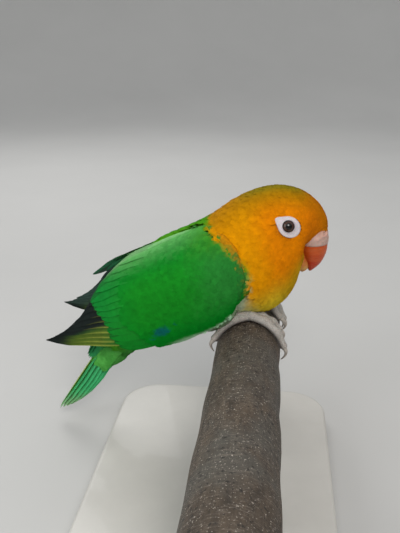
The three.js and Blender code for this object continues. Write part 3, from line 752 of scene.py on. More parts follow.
# Plumage colours by place.
def body_tint(u, turn):
    """Colour of the body's plumage at a station and turn."""
    down = np.abs(turn) / DEGREE
    edge = np.interp(down, *zip(*COLLAR))
    back = blend(RUMP, MANTLE, smooth(0.6, 2.2, u + 0.02 * down))
    under = blend(FLANK, BELLY, smooth(1.5, 4.4, u))
    green = blend(back, under, smooth(80, 140, down))
    top = blend(NAPE, CROWN, smooth(6.1, 7.2, u))
    top = blend(top, CROWN_RIM, smooth(26, 6, down) * smooth(5.6, 7.2, u) * smooth(10.4, 8.6, u) * 0.9)
    top = blend(top, FOREHEAD, smooth(8.6, 10, u))
    side = blend(NECK_GOLD, CHEEK, smooth(6.2, 7.4, u))
    side = blend(side, LORES, smooth(8.6, 10, u))
    low = blend(BREAST_EDGE, BREAST, smooth(4.9, 5.9, u))
    low = blend(low, THROAT, smooth(6.2, 7.6, u))
    warm = blend(top, side, smooth(20, 56, down))
    warm = blend(warm, low, smooth(104, 146, down))
    return blend(green, warm, smooth(edge - 0.2, edge + 0.16, u))


def wing_tint(t, v):
    """Colour of the wing's coverts and secondaries."""
    shoulder = blend(MANTLE, SHOULDER, smooth(0.1, 0.4, v))
    green = blend(WING_BRIGHT, WING_GREEN, smooth(0.1, 0.4, v) * smooth(0.75, 0.45, t))
    colour = blend(shoulder, green, smooth(0.1, 0.32, t))
    colour = blend(colour, WING_LOW, smooth(0.55, 0.85, v))
    pale = smooth(0.3, 0.06, v) * smooth(0.1, 0.3, t) * smooth(0.7, 0.5, t) * 0.75
    colour = blend(colour, MANTLE_PALE, pale)
    colour = blend(colour, WING_RIM, smooth(0.12, 0.04, v) * smooth(0.2, 0.3, t) * 0.5)
    colour = blend(colour, WING_FRINGE, smooth(0.86, 0.94, v) * smooth(0.4, 0.3, t) * 0.85)
    spot = smooth(0.06, 0.03, np.hypot((t - 0.41) * 1.5, v - 0.74))
    colour = blend(colour, COVERT_BLUE, spot * 0.9)
    border = np.interp(v, *zip(*WING_COLLAR))
    collar = blend(NAPE, NECK_GOLD, smooth(0.1, 0.3, v))
    return blend(collar, colour, smooth(border - 0.05, border + 0.03, t))


def wing_dip(t, v):
    """How far the wing's coat lies under its surface, most in front, where the neck's feathers meet it."""
    corner = 2.4 * smooth(0.4, 0.05, v) * smooth(0.3, 0.02, t)
    return 3.2 * smooth(0.14, -0.08, t) + corner + 1.6 * smooth(0.16, 0, v) + 0.8 * smooth(0.86, 1, v)


# Coats. The skin is tinted later from the small feathers that the coats list here.
on_skin = []


def coat_length(u):
    return np.interp(u, COAT_STATIONS, COAT_LENGTH)


def coat_depth(u):
    return np.interp(u, COAT_STATIONS, COAT_DEPTH)


def eye_frame(side):
    """The eye's frame on one side: its place on the head, and its ways ahead, across and outwards."""
    u = np.array([EYE["station"]])
    turn = np.array([side * EYE["turn"] * DEGREE])
    at, out = (value[0] for value in body.read(u, turn))
    pitch = RING["pitch"] * DEGREE
    ahead = np.array([math.cos(pitch), 0, -math.sin(pitch)])
    ahead = unit(ahead - out * ahead.dot(out))
    across = np.cross(out, ahead)
    return at, ahead, across, out


def ring_reach(angle):
    """How far the bare ring reaches from its middle, as x and y, at an angle round the eye."""
    corner = RING["corner"] * np.maximum(0, -np.cos(angle)) ** RING["sharpness"]
    return (RING["length"] + corner) * np.cos(angle), RING["height"] * np.sin(angle)


def ring_share(points, side):
    """How far out of the bare ring's middle points lie, as a share of its outline."""
    at, ahead, across, out = eye_frame(side)
    local = points - at
    x = local @ ahead - RING["forward"]
    y = local @ across
    angle = np.arctan2(y / RING["height"], x / RING["length"])
    edge_x, edge_y = ring_reach(angle)
    near = np.abs(local @ out) < 6
    return np.where(near, np.hypot(x, y) / np.hypot(edge_x, edge_y), 9)


def solid_tree(*names):
    """A search tree of CAD nodes, in the bird's millimetres."""
    points = []
    faces = []
    for name in names:
        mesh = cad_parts[name].data
        start = len(points)
        points += [Vector(np.array(v.co) / MM - BIRD) for v in mesh.vertices]
        faces += [[start + i for i in p.vertices] for p in mesh.polygons]
    return BVHTree.FromPolygons(points, faces)


def inside(tree, points, margin):
    """Which points lie inside a closed solid, or within a margin of it."""
    found = []
    for p in points:
        near, normal, _, distance = tree.find_nearest(Vector(p))
        found.append((Vector(p) - near).dot(normal) < 0 or distance < margin)
    return np.array(found)


# Places all over a wing, along it and down it.
wing_grid = np.meshgrid(np.linspace(0, 1, 61), np.linspace(0, 1, 41), indexing="ij")
wing_t, wing_v = (shares.ravel() for shares in wing_grid)
# How far inside the wing's edges, and how deep under it, the body goes without feathers.
HIDDEN_MARGIN = 3.5
HIDDEN_DEPTH = (0.3, 12)


def under_wing(points, surface):
    """Which points of the body a wing hides, well inside its edges."""
    at, out = surface.read(wing_t, wing_v)
    tree = point_tree(at)
    edges = point_tree(at[(wing_t < 0.26) | (wing_v < 0.2) | (wing_v > 0.93)])
    hidden = []
    for p in points:
        near, k, distance = tree.find(p)
        below = (near - Vector(p)).dot(Vector(out[k])) > HIDDEN_DEPTH[0]
        hidden.append(below and distance < HIDDEN_DEPTH[1] and edges.find(p)[2] > HIDDEN_MARGIN)
    return np.array(hidden)


# How far aside of the wing, and how high, the collar's feathers are lifted by it.
RIDE_REACH = 2
RIDE_MOST = 2.4


def over_wing(u, turn):
    """How far the front of a wing's coat stands over places of the body."""
    at, out = body.read(u, turn)
    rise = np.zeros(at.shape[:-1])
    front = (wing_t < 0.35) & (wing_v > 0.14) & (wing_v < 0.85)
    t, v = wing_t[front], wing_v[front]
    for name, side in SIDES:
        under, outward = wings[name].read(t, v)
        tree = point_tree(under - outward * wing_dip(t, v)[:, None])
        for place in np.argwhere(turn * side > 0):
            place = tuple(place)
            near, _, distance = tree.find(at[place])
            height = (np.array(near) - at[place]) @ out[place]
            if distance ** 2 - height ** 2 < RIDE_REACH ** 2:
                rise[place] = min(max(height + 0.2, 0), RIDE_MOST)
    return rise


def body_roots():
    """Feathers' roots all over the body, except under the bill, the wings and the bare rings."""
    roots = staggered(body, (0.0, 12.75), ALL_ROUND, coat_length, closed=True)
    u, turn = roots[:, 0], roots[:, 1]
    at, out = body.read(u, turn)
    bill = solid_tree("cere", "bill_upper", "bill_lower")
    face = u > 9.5
    keep = np.ones(len(u), bool)
    keep[face] = ~inside(bill, at[face] - out[face] * 0.3, 0.25)
    for name, side in SIDES:
        on_side = turn * side > 0
        keep[on_side] &= ring_share(at[on_side], side) > ROOTS_OUTSIDE
        flank = on_side & (u < 6.2)
        keep[flank] &= ~under_wing(at[flank], wings[name])
    return roots[keep]


def clear_of_rings(roots):
    """Roots, tips and lengths of the body's feathers, shortened where they reach into a bare ring."""
    u, turn = roots[:, 0], roots[:, 1]
    length = coat_length(u) * rng.uniform(0.85, 1.12, len(u))
    droop = 0.18 * np.sin(turn) * smooth(4, 7, u) + 0.1 * rng.standard_normal(len(u))
    for _ in range(4):
        tips = lengthwise(body, u, turn, length, -1, droop)
        at = body.point(tips[:, 0], tips[:, 1])
        over = np.zeros(len(u), bool)
        for _, side in SIDES:
            on_side = turn * side > 0
            over[on_side] |= ring_share(at[on_side], side) < TIPS_OUTSIDE
        length = np.where(over, length * SHORTENED, length)
    tips = lengthwise(body, u, turn, length, -1, droop)
    kept = length > SHORTEST * coat_length(u)
    return roots[kept], tips[kept], length[kept]


def body_coat():
    """Feathers of the head, neck, breast, back and belly, smallest on the face."""
    roots, tips, length = clear_of_rings(body_roots())
    u = roots[:, 0]
    for name, (low, high) in BODY_COATS.items():
        part = (u >= low) & (u < high)
        shape = SMALL if name == "face" else SOFT
        count = part.sum()
        depth = coat_depth(u[part])
        half = length[part] * rng.uniform(0.26, 0.32, count)
        end, down = tips[part][:, 0], np.abs(tips[part][:, 1]) / DEGREE
        collar = end > np.interp(down, *zip(*COLLAR)) - 0.3
        collar &= (end < 7.2) & (down > 15) & (down < 112)
        fluff = 0.05 + 0.35 * smooth(95, 140, down) * smooth(8.5, 6.5, end) * rng.random(count)

        def ridden(a, b, collar=collar):
            rise = np.zeros(a.shape)
            rise[collar] = over_wing(a[collar], b[collar])
            return -rise

        feathers = Feathers(body, shape, roots[part], tips[part], half,
                            lift=rng.uniform(-0.2, 0.05, count) * depth, rise=fluff * depth, sink=depth,
                            roll=rng.normal(0, 1.8, count), thickness=0.016 * length[part].mean(), dip=ridden)
        drift = rng.normal(0, 0.05, (count, 1))
        feathers.paint(body_tint(feathers.place[..., 0] + drift, feathers.place[..., 1]))
        coat("coat_" + name, [feathers], DOWN)
        on_skin.append(feathers)


def brow_coat():
    """Forehead feathers that start part way down the front of the cere."""
    roots = staggered(bill_top, (0.0, 1.7), (-1.1, 1.1), lambda u: BROW_LENGTH)
    roots = roots[roots[:, 0] < 1.7 * np.cos(1.35 * roots[:, 1])]
    length = BROW_LENGTH * rng.uniform(0.85, 1.1, len(roots))
    tips = lengthwise(bill_top, roots[:, 0], roots[:, 1], length, -1)
    feathers = Feathers(bill_top, SMALL, roots, tips, length * 0.28, lift=0.5, rise=0.1, sink=0.6,
                        roll=rng.normal(0, 2.5, len(roots)), thickness=0.03)
    feathers.paint(FOREHEAD[None] * np.ones((len(roots), 1)))
    coat("coat_brow", [feathers], DOWN)


def thigh_coat(name):
    surface = thighs[name]
    roots = staggered(surface, (0.08, 0.9), ALL_ROUND, lambda p: THIGH_LENGTH, closed=True)
    length = THIGH_LENGTH * rng.uniform(0.85, 1.1, len(roots))
    tips = lengthwise(surface, roots[:, 0], roots[:, 1], length, 1)
    feathers = Feathers(surface, SOFT, roots, tips, length * 0.3, lift=-0.2, sink=1.0,
                        roll=rng.normal(0, 2.5, len(roots)), thickness=0.1)
    share = rng.random(len(roots)) * 0.4 + 0.3
    feathers.paint(blend(FLANK, BELLY, share))
    on_skin.append(feathers)
    coat("coat_thigh_" + name, [feathers], DOWN)


# Rows of the wing's large feathers, from the outermost to the innermost: root and tip as shares along and
# down it.
WING_ROWS = {
    "primaries": {"count": 9, "root": ((0.36, 0.83), (0.44, 0.5)), "tip": ((0.99, 0.7), (0.8, 0.18)),
                  "half": (3.2, 3.8), "lift": (-2.3, -1.2), "roll": 5, "vane": POINTED},
    "primary_coverts": {"count": 7, "root": ((0.22, 0.88), (0.25, 0.72)), "tip": ((0.46, 0.87), (0.5, 0.74)),
                        "half": (2.3, 2.7), "lift": (-1.2, -0.9), "roll": 6, "vane": COVERT},
    "secondaries": {"count": 10, "root": ((0.32, 0.74), (0.4, 0.3)), "tip": ((0.58, 0.85), (0.76, 0.24)),
                    "half": (4, 4.8), "lift": (-1.0, -0.3), "roll": 3.5, "vane": QUILL},
    "tertials": {"count": 4, "root": ((0.36, 0.28), (0.32, 0.12)), "tip": ((0.73, 0.16), (0.6, 0.04)),
                 "half": (5.2, 4.8), "lift": (-0.3, 0), "roll": 5, "vane": QUILL},
    "greater_coverts": {"count": 13, "root": ((0.17, 0.84), (0.2, 0.1)), "tip": ((0.41, 0.86), (0.48, 0.1)),
                        "half": (3.2, 3.8), "lift": (-0.7, -0.2), "roll": 4, "vane": COVERT},
}
LEFT_TERTIALS = {"tip": ((0.83, 0.24), (0.68, 0.16)), "half": (4.4, 4.4), "rise": (4.6, 0.4)}


def row_places(row, f, key):
    first, last = row[key]
    return np.array(first) + (np.array(last) - np.array(first)) * f[:, None]


def wing_row(name, side_name, side):
    row = dict(WING_ROWS[name])
    if name == "tertials" and side > 0:
        row.update(LEFT_TERTIALS)
    count = row["count"]
    f = np.linspace(0, 1, count)
    root = row_places(row, f, "root")
    tip = row_places(row, f, "tip") + rng.uniform(-0.006, 0.006, (count, 2))
    return Feathers(wings[side_name], row["vane"], root, tip, mix(row["half"], f), lift=mix(row["lift"], f),
                    rise=mix(row.get("rise", (0, 0)), f), sink=1.0, roll=side * row["roll"], bow=0.07,
                    thickness=0.1)


def paint_flight(feathers, side, dark):
    """Outer webs take the wing's green and inner webs are dusky, by a share."""
    t, v = feathers.place[..., 0], feathers.place[..., 1]
    inner = smooth(0.25, -0.35, feathers.vane.across * side) * dark
    feathers.paint(blend(wing_tint(t, v), PRIMARY_DARK, np.broadcast_to(inner, t.shape)), 0, 0.04, 0.03)


def paint_primaries(feathers, side):
    """Dark along the top and at the tips, with outer webs green at the root and olive further on."""
    t, v = feathers.place[..., 0], feathers.place[..., 1]
    outer = smooth(-0.1, 0.5, feathers.vane.across * side) * np.ones_like(t)
    web = blend(PRIMARY_GREEN, PRIMARY_OLIVE, smooth(0.54, 0.7, t) * smooth(0.5, 0.66, v))
    web = blend(PRIMARY_DARK, web, (0.35 + 0.65 * outer) * smooth(0.93, 0.8, t))
    dark = smooth(0.66, 0.56, v) * smooth(0.54, 0.66, t)
    web = blend(web, PRIMARY_DARK, np.maximum(dark, smooth(0.84, 0.93, t)))
    edge = smooth(0.7, 0.95, feathers.vane.across * side) * smooth(0.5, 0.6, t) * smooth(0.92, 0.8, t)
    feathers.paint(blend(web, PRIMARY_EDGE, edge * (0.25 + 0.45 * smooth(0.5, 0.66, v))), 0, 0.03, 0.05)


def strip_map(groups):
    """Gives each large feather a strip of its own on the bake's map, so that its markings are kept."""
    total = sum(len(g.root) for g in groups)
    k = 0
    for g in groups:
        for i in range(len(g.root)):
            x = (k + 0.5 + 0.42 * g.vane.across) / total
            g.bake[i] = np.stack([x, 0.02 + 0.96 * g.q], -1)
            k += 1


# Small feathers over the wing, in two layers: spans along it and down it, their length at its bend, and how
# much longer they would be at its tip.
SMALL_COVERTS = (
    {"along": (-0.08, 0.52), "down": (0.04, 0.95), "size": 3.6, "growth": 9},
    {"along": (-0.04, 0.47), "down": (0.05, 0.26), "size": 5, "growth": 6},
)


def small_coverts(surface, layer):
    """One layer of the wing's small feathers, from behind the collar to the roots of the large ones."""
    def length_at(t):
        return layer["size"] + layer["growth"] * np.maximum(t, 0)

    roots = staggered(surface, layer["along"], layer["down"], length_at)
    t, v = roots[:, 0], roots[:, 1]
    first = np.interp(v, (0.2, 0.32, 0.42, 0.7, 0.76), (0.15, 0.04, -0.1, -0.1, 0.03))
    roots = roots[(t > first) & (t < 0.52 - 0.14 * smooth(0.5, 0.85, v))]
    t, v = roots[:, 0], roots[:, 1]
    length = length_at(t) * rng.uniform(0.9, 1.1, len(t))
    tips = lengthwise(surface, t, v, length, 1, 0.05 * rng.standard_normal(len(t)))
    half = length * 0.3 * (0.6 + 0.4 * smooth(0, 0.2, np.minimum(v, 1 - v)))
    feathers = Feathers(surface, SOFT, roots, tips, half, lift=rng.uniform(-0.1, 0.12, len(t)),
                        sink=1.1, roll=rng.normal(0, 1.8, len(t)), thickness=0.07, dip=wing_dip)
    drift = rng.normal(0, 0.01, (len(t), 1))
    feathers.paint(wing_tint(feathers.place[..., 0] + drift, feathers.place[..., 1] + drift))
    return feathers


def wing_coat(name, side):
    made = {row: wing_row(row, name, side) for row in WING_ROWS}
    paint_primaries(made["primaries"], side)
    dusky = {"primary_coverts": 0.3, "secondaries": 0.45, "tertials": 0.3, "greater_coverts": 0}
    for row, dark in dusky.items():
        paint_flight(made[row], side, dark)
    # The left wing's large feathers are greyer towards its tip, as in the photo: partly their dusky inner
    # webs and partly painted shade on the far wing.
    if side > 0:
        for row, far in (("primaries", FAR_DUSKY_SHADED), ("secondaries", FAR_GREEN_SHADED), ("tertials", FAR_GREEN_SHADED)):
            feathers = made[row]
            t, v = feathers.place[..., 0], feathers.place[..., 1]
            beyond = smooth(0.52, 0.76, t) * smooth(0.95, 0.45, v)
            feathers.tint = blend(feathers.tint, far, beyond * 0.8)
    groups = list(made.values())
    strip_map(groups)
    coat("wing_feathers_" + name, groups, FLIGHT)
    small = [small_coverts(wings[name], layer) for layer in SMALL_COVERTS]
    on_skin.extend(small)
    coat("wing_coverts_" + name, small, DOWN)


# The tail's feathers in pairs from its middle: the first pair's place across the roof and how far the others
# spread, how much shorter the outer ones are, the half widths of the first and last, and the step down from
# each to the next.
TAIL_FEATHERS = {"pairs": 6, "first": 0.1, "spread": 0.86, "shorter": 0.24, "half": (4.4, 3.8), "step": 0.6}


def tail_coat():
    groups = []
    for _, side in SIDES:
        f = np.linspace(0, 1, TAIL_FEATHERS["pairs"])
        v = side * (TAIL_FEATHERS["first"] + TAIL_FEATHERS["spread"] * f)
        root = np.stack([np.zeros_like(v), v * TAIL["root_spread"]], -1)
        tip = np.stack([1 - TAIL_FEATHERS["shorter"] * f, v], -1)
        lift = -TAIL_FEATHERS["step"] * (np.arange(len(f)) + (0 if side > 0 else 0.5))
        feathers = Feathers(tail, POINTED, root, tip, mix(TAIL_FEATHERS["half"], f), lift=lift, sink=0.5,
                            thickness=0.22)
        x = feathers.vane.across * side
        q = feathers.q
        base = blend(TAIL_GREEN, TAIL_BLUE, smooth(-0.2, 0.8, x))
        streak = smooth(0.0, 0.4, -x) * smooth(0.1, 0.35, q) * smooth(0.86, 0.6, q)
        base = blend(base, TAIL_YELLOW, streak * 0.6)
        base = blend(base, TAIL_TIP, smooth(0.66, 0.95, q) * 0.8)
        shaft = np.exp(-(feathers.vane.across / 0.12) ** 2) * smooth(1, 0.7, q) * 0.35
        base = blend(base, PRIMARY_DARK, shaft)
        feathers.paint(np.repeat(base[None], len(f), 0), 0.1, 0.05, 0.05)
        groups.append(feathers)
    strip_map(groups)
    coat("tail_feathers", groups, FLIGHT)
    coverts = []
    spans = (
        (tail, (-0.3, 0.17), (-1.0, 1.0), 5.6),
        (tail_core, (-0.25, 1.8), (math.pi * 0.4, math.pi * 1.6), 5.0),
    )
    for surface, a_span, b_span, size in spans:
        roots = staggered(surface, a_span, b_span, lambda a: size)
        a, b = roots[:, 0], roots[:, 1]
        length = size * rng.uniform(0.85, 1.1, len(a))
        tips = lengthwise(surface, a, b, length, 1, 0.06 * rng.standard_normal(len(a)))
        feathers = Feathers(surface, SOFT, roots, tips, length * 0.3, lift=rng.uniform(-0.1, 0.15, len(a)),
                            sink=1.0, roll=rng.normal(0, 2.5, len(a)), thickness=0.1)
        green = blend(TAIL_GREEN, FLANK, 0.7 + 0.2 * rng.random(len(a)))
        rump = smooth(0.6, 0.2, np.abs(b)) * smooth(0.05, -0.1, a) if surface is tail else np.zeros(len(a))
        feathers.paint(blend(green, RUMP, rump))
        coverts.append(feathers)
        on_skin.append(feathers)
    coat("tail_coverts", coverts, DOWN)


body_coat()
brow_coat()
for side_name, side_sign in SIDES:
    thigh_coat(side_name)
    wing_coat(side_name, side_sign)
tail_coat()


# Skin: one closed form under all the feathers.
def bands(rings, sides, looped=False):
    """Triangles between rings of points, also from the last ring to the first if they make a loop."""
    number = np.arange(rings * sides).reshape(rings, sides)
    after = np.roll(number, -1, 0)
    if not looped:
        number, after = number[:-1], after[:-1]
    on, after_on = np.roll(number, -1, 1), np.roll(after, -1, 1)
    return np.stack([number, on, after_on, number, after_on, after], -1).reshape(-1, 3)


def turned_out(points, faces):
    """The faces turned so that a closed form's faces point out."""
    corners = points[faces]
    volume = np.einsum("ij,ij->i", corners[:, 0], np.cross(corners[:, 1], corners[:, 2])).sum()
    return faces[:, ::-1] if volume < 0 else faces


def closed_form(rings):
    """Points and triangles of a tube through rings, closed by a fan round a middle point at each end."""
    sides = len(rings[0])
    points = np.concatenate([*rings, [rings[0].mean(0), rings[-1].mean(0)]])
    near = np.arange(sides)
    on = np.roll(near, -1)
    last = sides * (len(rings) - 1)
    first_middle = np.full(sides, last + sides)
    ends = np.stack([first_middle, on, near, first_middle + 1, last + near, last + on], -1).reshape(-1, 3)
    return points, turned_out(points, np.concatenate([bands(len(rings), sides), ends]))


def shaded_form(name, rings, look, colours, heights):
    """A closed form whose tint turns from one colour to another between two heights."""
    points, faces = closed_form(rings)
    piece = mesh_object(name, points, faces, look)
    store_tint(piece.data, blend(*colours, smooth(*heights, points[:, 2])))
    return piece


def joined(forms):
    """Several forms' points and triangles as one."""
    starts = np.cumsum([0] + [len(points) for points, _ in forms])
    faces = [own + start for (_, own), start in zip(forms, starts)]
    return np.concatenate([points for points, _ in forms]), np.concatenate(faces)


# Size of the skin's faces, its depth under the tail's root, and how far the wings' fronts reach in.
SKIN = {"face": 0.8, "tail_depth": 0.9, "wing_depth": 4.4}


def make_skin():
    """One closed form from the tail's root to the face, with the thighs and the fronts of the wings."""
    forms = [
        closed_form([
            loft_point(BODY, np.full(48, u), circle(48), -float(coat_depth(u)))
            for u in np.linspace(0.05, 11.95, 80)
        ]),
        closed_form([
            loft_point(TAIL_CORE, np.full(32, u), circle(32), -SKIN["tail_depth"])
            for u in np.linspace(-0.6, 2, 12)
        ]),
    ]
    for name, _ in SIDES:
        rings = []
        for p in np.linspace(0.02, 0.98, 24):
            at, out = thighs[name].read(np.full(24, p), circle(24))
            rings.append(at - out)
        forms.append(closed_form(rings))
        rings = []
        for t in np.linspace(0.02, 0.5, 24):
            inset = 0.03 + 0.3 * max(0, 1 - t / 0.16) ** 2
            v = np.linspace(inset, 1 - inset, 20)
            at, out = wings[name].read(np.full(20, t), v)
            outer = at - out * (0.9 + 1.1 * smooth(0, 0.2, t))
            inner = at - out * SKIN["wing_depth"]
            inner[[0, -1]] = outer[[0, -1]] * 0.5 + inner[[0, -1]] * 0.5
            rings.append(np.concatenate([outer, inner[::-1]]))
        forms.append(closed_form(rings))
    rough = mesh_object("skin_rough", *joined(forms), SKIN_LOOK)
    remesh = rough.modifiers.new("one_skin", "REMESH")
    remesh.mode = "VOXEL"
    remesh.voxel_size = SKIN["face"] * MM
    remesh.use_smooth_shade = True
    evened = rough.modifiers.new("evened", "SMOOTH")
    evened.iterations = 3
    made = bpy.data.meshes.new_from_object(rough.evaluated_get(bpy.context.evaluated_depsgraph_get()))
    skin = linked("skin", made)
    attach(skin, "root")
    bpy.data.objects.remove(rough)
    tint_skin(skin)
    return skin


def tint_skin(skin):
    """The skin takes the colour of the nearest feather's root, painted root shade included."""
    tree = point_tree(np.concatenate([feathers.points[:, 0] for feathers in on_skin]))
    colours = np.concatenate([feathers.tint[:, 0] for feathers in on_skin])
    nearest = [tree.find(np.array(v.co) / MM - BIRD)[1] for v in skin.data.vertices]
    store_tint(skin.data, colours[nearest])


skin = make_skin()
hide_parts("head", "neck", "torso", "thigh_right", "thigh_left", "wing_right", "wing_left", "tail")


# Bill and cere.
def bill_material():
    shader = Shader("bill_horn", Roughness=0.36, Coat_Weight=0.08, Specular_IOR_Level=0.25,
                    Subsurface_Weight=0.04, Subsurface_Scale=0.002)
    growth = shader.noise((120, 120, 900), 3)
    flecks = shader.noise(700, 4)
    colour = shader.mixed(shader.ramp(growth, (0.4, 0), (0.62, 0.5)), shader.tinted(), linear(184, 92, 44))
    colour = shader.times(colour, shader.ramp(flecks, (0.3, 0.88), (0.7, 1.08)))
    return shader.finished(colour, growth, 0.08, 0.6)


BILL_SIDES = 72
# The upper bill's horn: how many stations it runs under the cere, how far it is drawn in there, its inset
# from the CAD's surface, and the heights of its ridge and of its growth lines.
HORN = {"under": 0.12, "drawn_in": 0.25, "inset": 0.12, "ridge": 0.12, "lines": 0.035}


def cere_station(turns):
    """The upper bill's station at which each turn meets the cere's lower edge."""
    low = np.full_like(turns, -0.2)
    high = np.full_like(turns, 4.5)
    for _ in range(30):
        middle = (low + high) / 2
        above = loft_point(UPPER_BILL, middle, turns)[..., 2] > CERE_EDGE
        low = np.where(above, middle, low)
        high = np.where(above, high, middle)
    return low


def make_upper_bill(turns, edge, horn):
    def horn_ring(f):
        u = edge - HORN["under"] + (UPPER_BILL_END - edge + HORN["under"]) * f
        at, out = upper_bill.read(u, turns)
        ridge = HORN["ridge"] * np.exp(-(np.minimum(turns, 2 * math.pi - turns) / 0.35) ** 2)
        growth = HORN["lines"] * np.sin(u * 21 + 0.5 * np.sin(turns * 3))
        drawn_in = -HORN["drawn_in"] * smooth(0.04, 0.0, f)
        fade = smooth(1, 0.85, f)
        return at + out * ((ridge + growth) * fade + drawn_in - HORN["inset"])[..., None]

    rings = [horn_ring(f) for f in np.linspace(0, 1, 100)]
    piece = shaded_form("bill_upper_horn", rings, horn, (linear(180, 72, 16), linear(168, 36, 4)), (46, 37))
    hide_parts("bill_upper")


def make_lower_bill(horn):
    turns = circle(48)

    def horn_ring(u):
        at, out = lower_bill.read(np.full_like(turns, u), turns)
        return at + out * (0.03 * np.sin(u * 24) - 0.03)

    rings = [horn_ring(u) for u in np.linspace(0, LOWER_BILL_END, 60)]
    piece = shaded_form("bill_lower_horn", rings, horn, (linear(176, 92, 30), linear(196, 150, 76)), (41, 36))
    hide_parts("bill_lower")


def make_cere(turns, edge):
    def fold_ring(f):
        u = -0.1 + (edge + 0.1) * f
        at, out = upper_bill.read(u, turns)
        folds = 0.1 * np.sin(u * 9 + 2 * np.abs(np.sin(turns)))
        swell = 0.25 + 0.25 * np.sin(np.pi * f) + folds * np.sin(np.pi * f)
        swell = swell * smooth(1, 0.93, f) * (0.2 + 0.8 * smooth(0.35, 0.6, f))
        turned = np.minimum(turns, 2 * math.pi - turns)
        away = np.hypot((u - NOSTRIL["station"]) * 3.6, (turned - NOSTRIL["turn"] * DEGREE) * 5.4)
        pit = -NOSTRIL["depth"] * np.exp(-(away / NOSTRIL["radius"]) ** 2)
        rim = NOSTRIL["rim"] * np.exp(-((away - 1.5 * NOSTRIL["radius"]) / 0.45) ** 2)
        return at + out * (swell + pit + rim)[..., None]

    look = mottled("cere_skin", (500, 4), ((0.3, 0.84), (0.7, 1.06)), ("cells", (900,), 0.12, 0.5),
                   Roughness=0.55, Subsurface_Weight=0.2, Subsurface_Scale=0.002)
    rings = [fold_ring(f) for f in np.linspace(0, 1, 60)]
    piece = shaded_form("cere_folds", rings, look, (linear(182, 150, 138), linear(190, 142, 122)), (49, 55))
    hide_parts("cere")


bill_turns = circle(BILL_SIDES)
cere_edge = cere_station(bill_turns)
bill_look = bill_material()
make_upper_bill(bill_turns, cere_edge, bill_look)
make_lower_bill(bill_look)
make_cere(bill_turns, cere_edge)


# Eyes and the bare rings round them.
PUPIL = linear(7, 6, 6)
IRIS = linear(62, 38, 28)
IRIS_RIM = linear(20, 13, 11)
RING_WHITE = linear(190, 180, 183)
LID_DARK = linear(40, 30, 28)
EYE_SIDES = 64
# Section of the ring, once round it: share of the way from the lid to the ring's outline, height over the
# head, and how far out of the lid's middle line, as a share of half the lid's width.
RING_PROFILE = (
    (1.0, -1.1, 1), (1.03, -0.35, 1), (1.0, 0.02, 1), (0.94, 0.2, 1), (0.82, 0.28, 1), (0.66, 0.25, 1),
    (0.45, 0.22, 1), (0.25, 0.24, 1), (0.12, 0.3, 1),
    (0, 0.28, 1), (0, 0.52, 0.55), (0, LID["height"], 0), (0, 0.56, -0.55), (0, 0.3, -1), (0, -0.6, -1.25),
)


def on_head(x, y, side):
    """Height of the head's surface over the eye frame's plane at places of that plane."""
    at, ahead, across, out = eye_frame(side)
    u = np.full_like(x, EYE["station"])
    turn = np.full_like(x, side * EYE["turn"] * DEGREE)
    for _ in range(8):
        here = body.point(u, turn) - at
        step_u, step_turn = body.steps(u, turn)
        a, b = step_u @ ahead, step_turn @ ahead
        c, d = step_u @ across, step_turn @ across
        miss_x, miss_y = x - here @ ahead, y - here @ across
        scale = a * d - b * c
        u = u + (d * miss_x - b * miss_y) / scale
        turn = turn + (a * miss_y - c * miss_x) / scale
    return (body.point(u, turn) - at) @ out


def by_eye(side, x, y, z):
    """Points from their places in the eye's frame."""
    at, ahead, across, out = eye_frame(side)
    return at + x[..., None] * ahead + y[..., None] * across + z[..., None] * out


def off_axis(side, points):
    """How far points lie from the eye's axis."""
    at, ahead, across, _ = eye_frame(side)
    local = points - at
    return np.hypot(local @ ahead, local @ across)


def make_eyeball(name, side, look):
    """A ball with a slightly bulging middle, dark brown round a black pupil."""
    turns = circle(EYE_SIDES)
    rings = []
    for pitch in np.linspace(0.02, math.pi - 0.02, 40):
        bulge = 0.12 * math.exp(-((pitch / 0.75) ** 4))
        radius = EYE["radius"] + bulge
        flat = radius * math.sin(pitch)
        high = np.full_like(turns, radius * math.cos(pitch) - EYE["sink"] - bulge * 0.3)
        rings.append(by_eye(side, flat * np.cos(turns), flat * np.sin(turns), high))
    points, faces = closed_form(rings)
    ball = mesh_object("eyeball_" + name, points, faces, look)
    away = off_axis(side, points)
    colour = blend(PUPIL, IRIS, smooth(1.25, 1.45, away))
    store_tint(ball.data, blend(colour, IRIS_RIM, smooth(1.9, 2.3, away)))
    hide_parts("eye_" + name)


def make_eye_ring(name, side, look):
    """The bare skin from the lid's rim to the ring's outline, with fine wrinkles."""
    turns = circle(EYE_SIDES)
    edge_x, edge_y = ring_reach(turns)
    edge_x = edge_x + RING["forward"]
    rings = []
    for share, rise, rim in RING_PROFILE:
        radius = LID["radius"] + rim * LID["half"]
        x = LID["longer"] * np.cos(turns) * radius * (1 - share) + edge_x * share
        y = np.sin(turns) * radius * (1 - share) + edge_y * share
        flat = 0.45 * smooth(0.6, 0, share)
        wrinkle = 0.05 * np.sin(turns * 22 + 3 * share) * math.sin(math.pi * min(1, share + 0.08))
        rings.append(by_eye(side, x, y, on_head(x, y, side) * (1 - flat) + rise + wrinkle))
    points = np.concatenate(rings)
    middle = eye_frame(side)[0]
    faces = turned_out(points - middle, bands(len(rings), len(turns), looped=True))
    piece = mesh_object("eye_ring_skin_" + name, points, faces, look)
    grey = smooth(LID["radius"] + 0.3, LID["radius"] - 0.3, off_axis(side, points))
    store_tint(piece.data, blend(RING_WHITE, LID_DARK, grey))
    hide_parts("eye_ring_" + name)


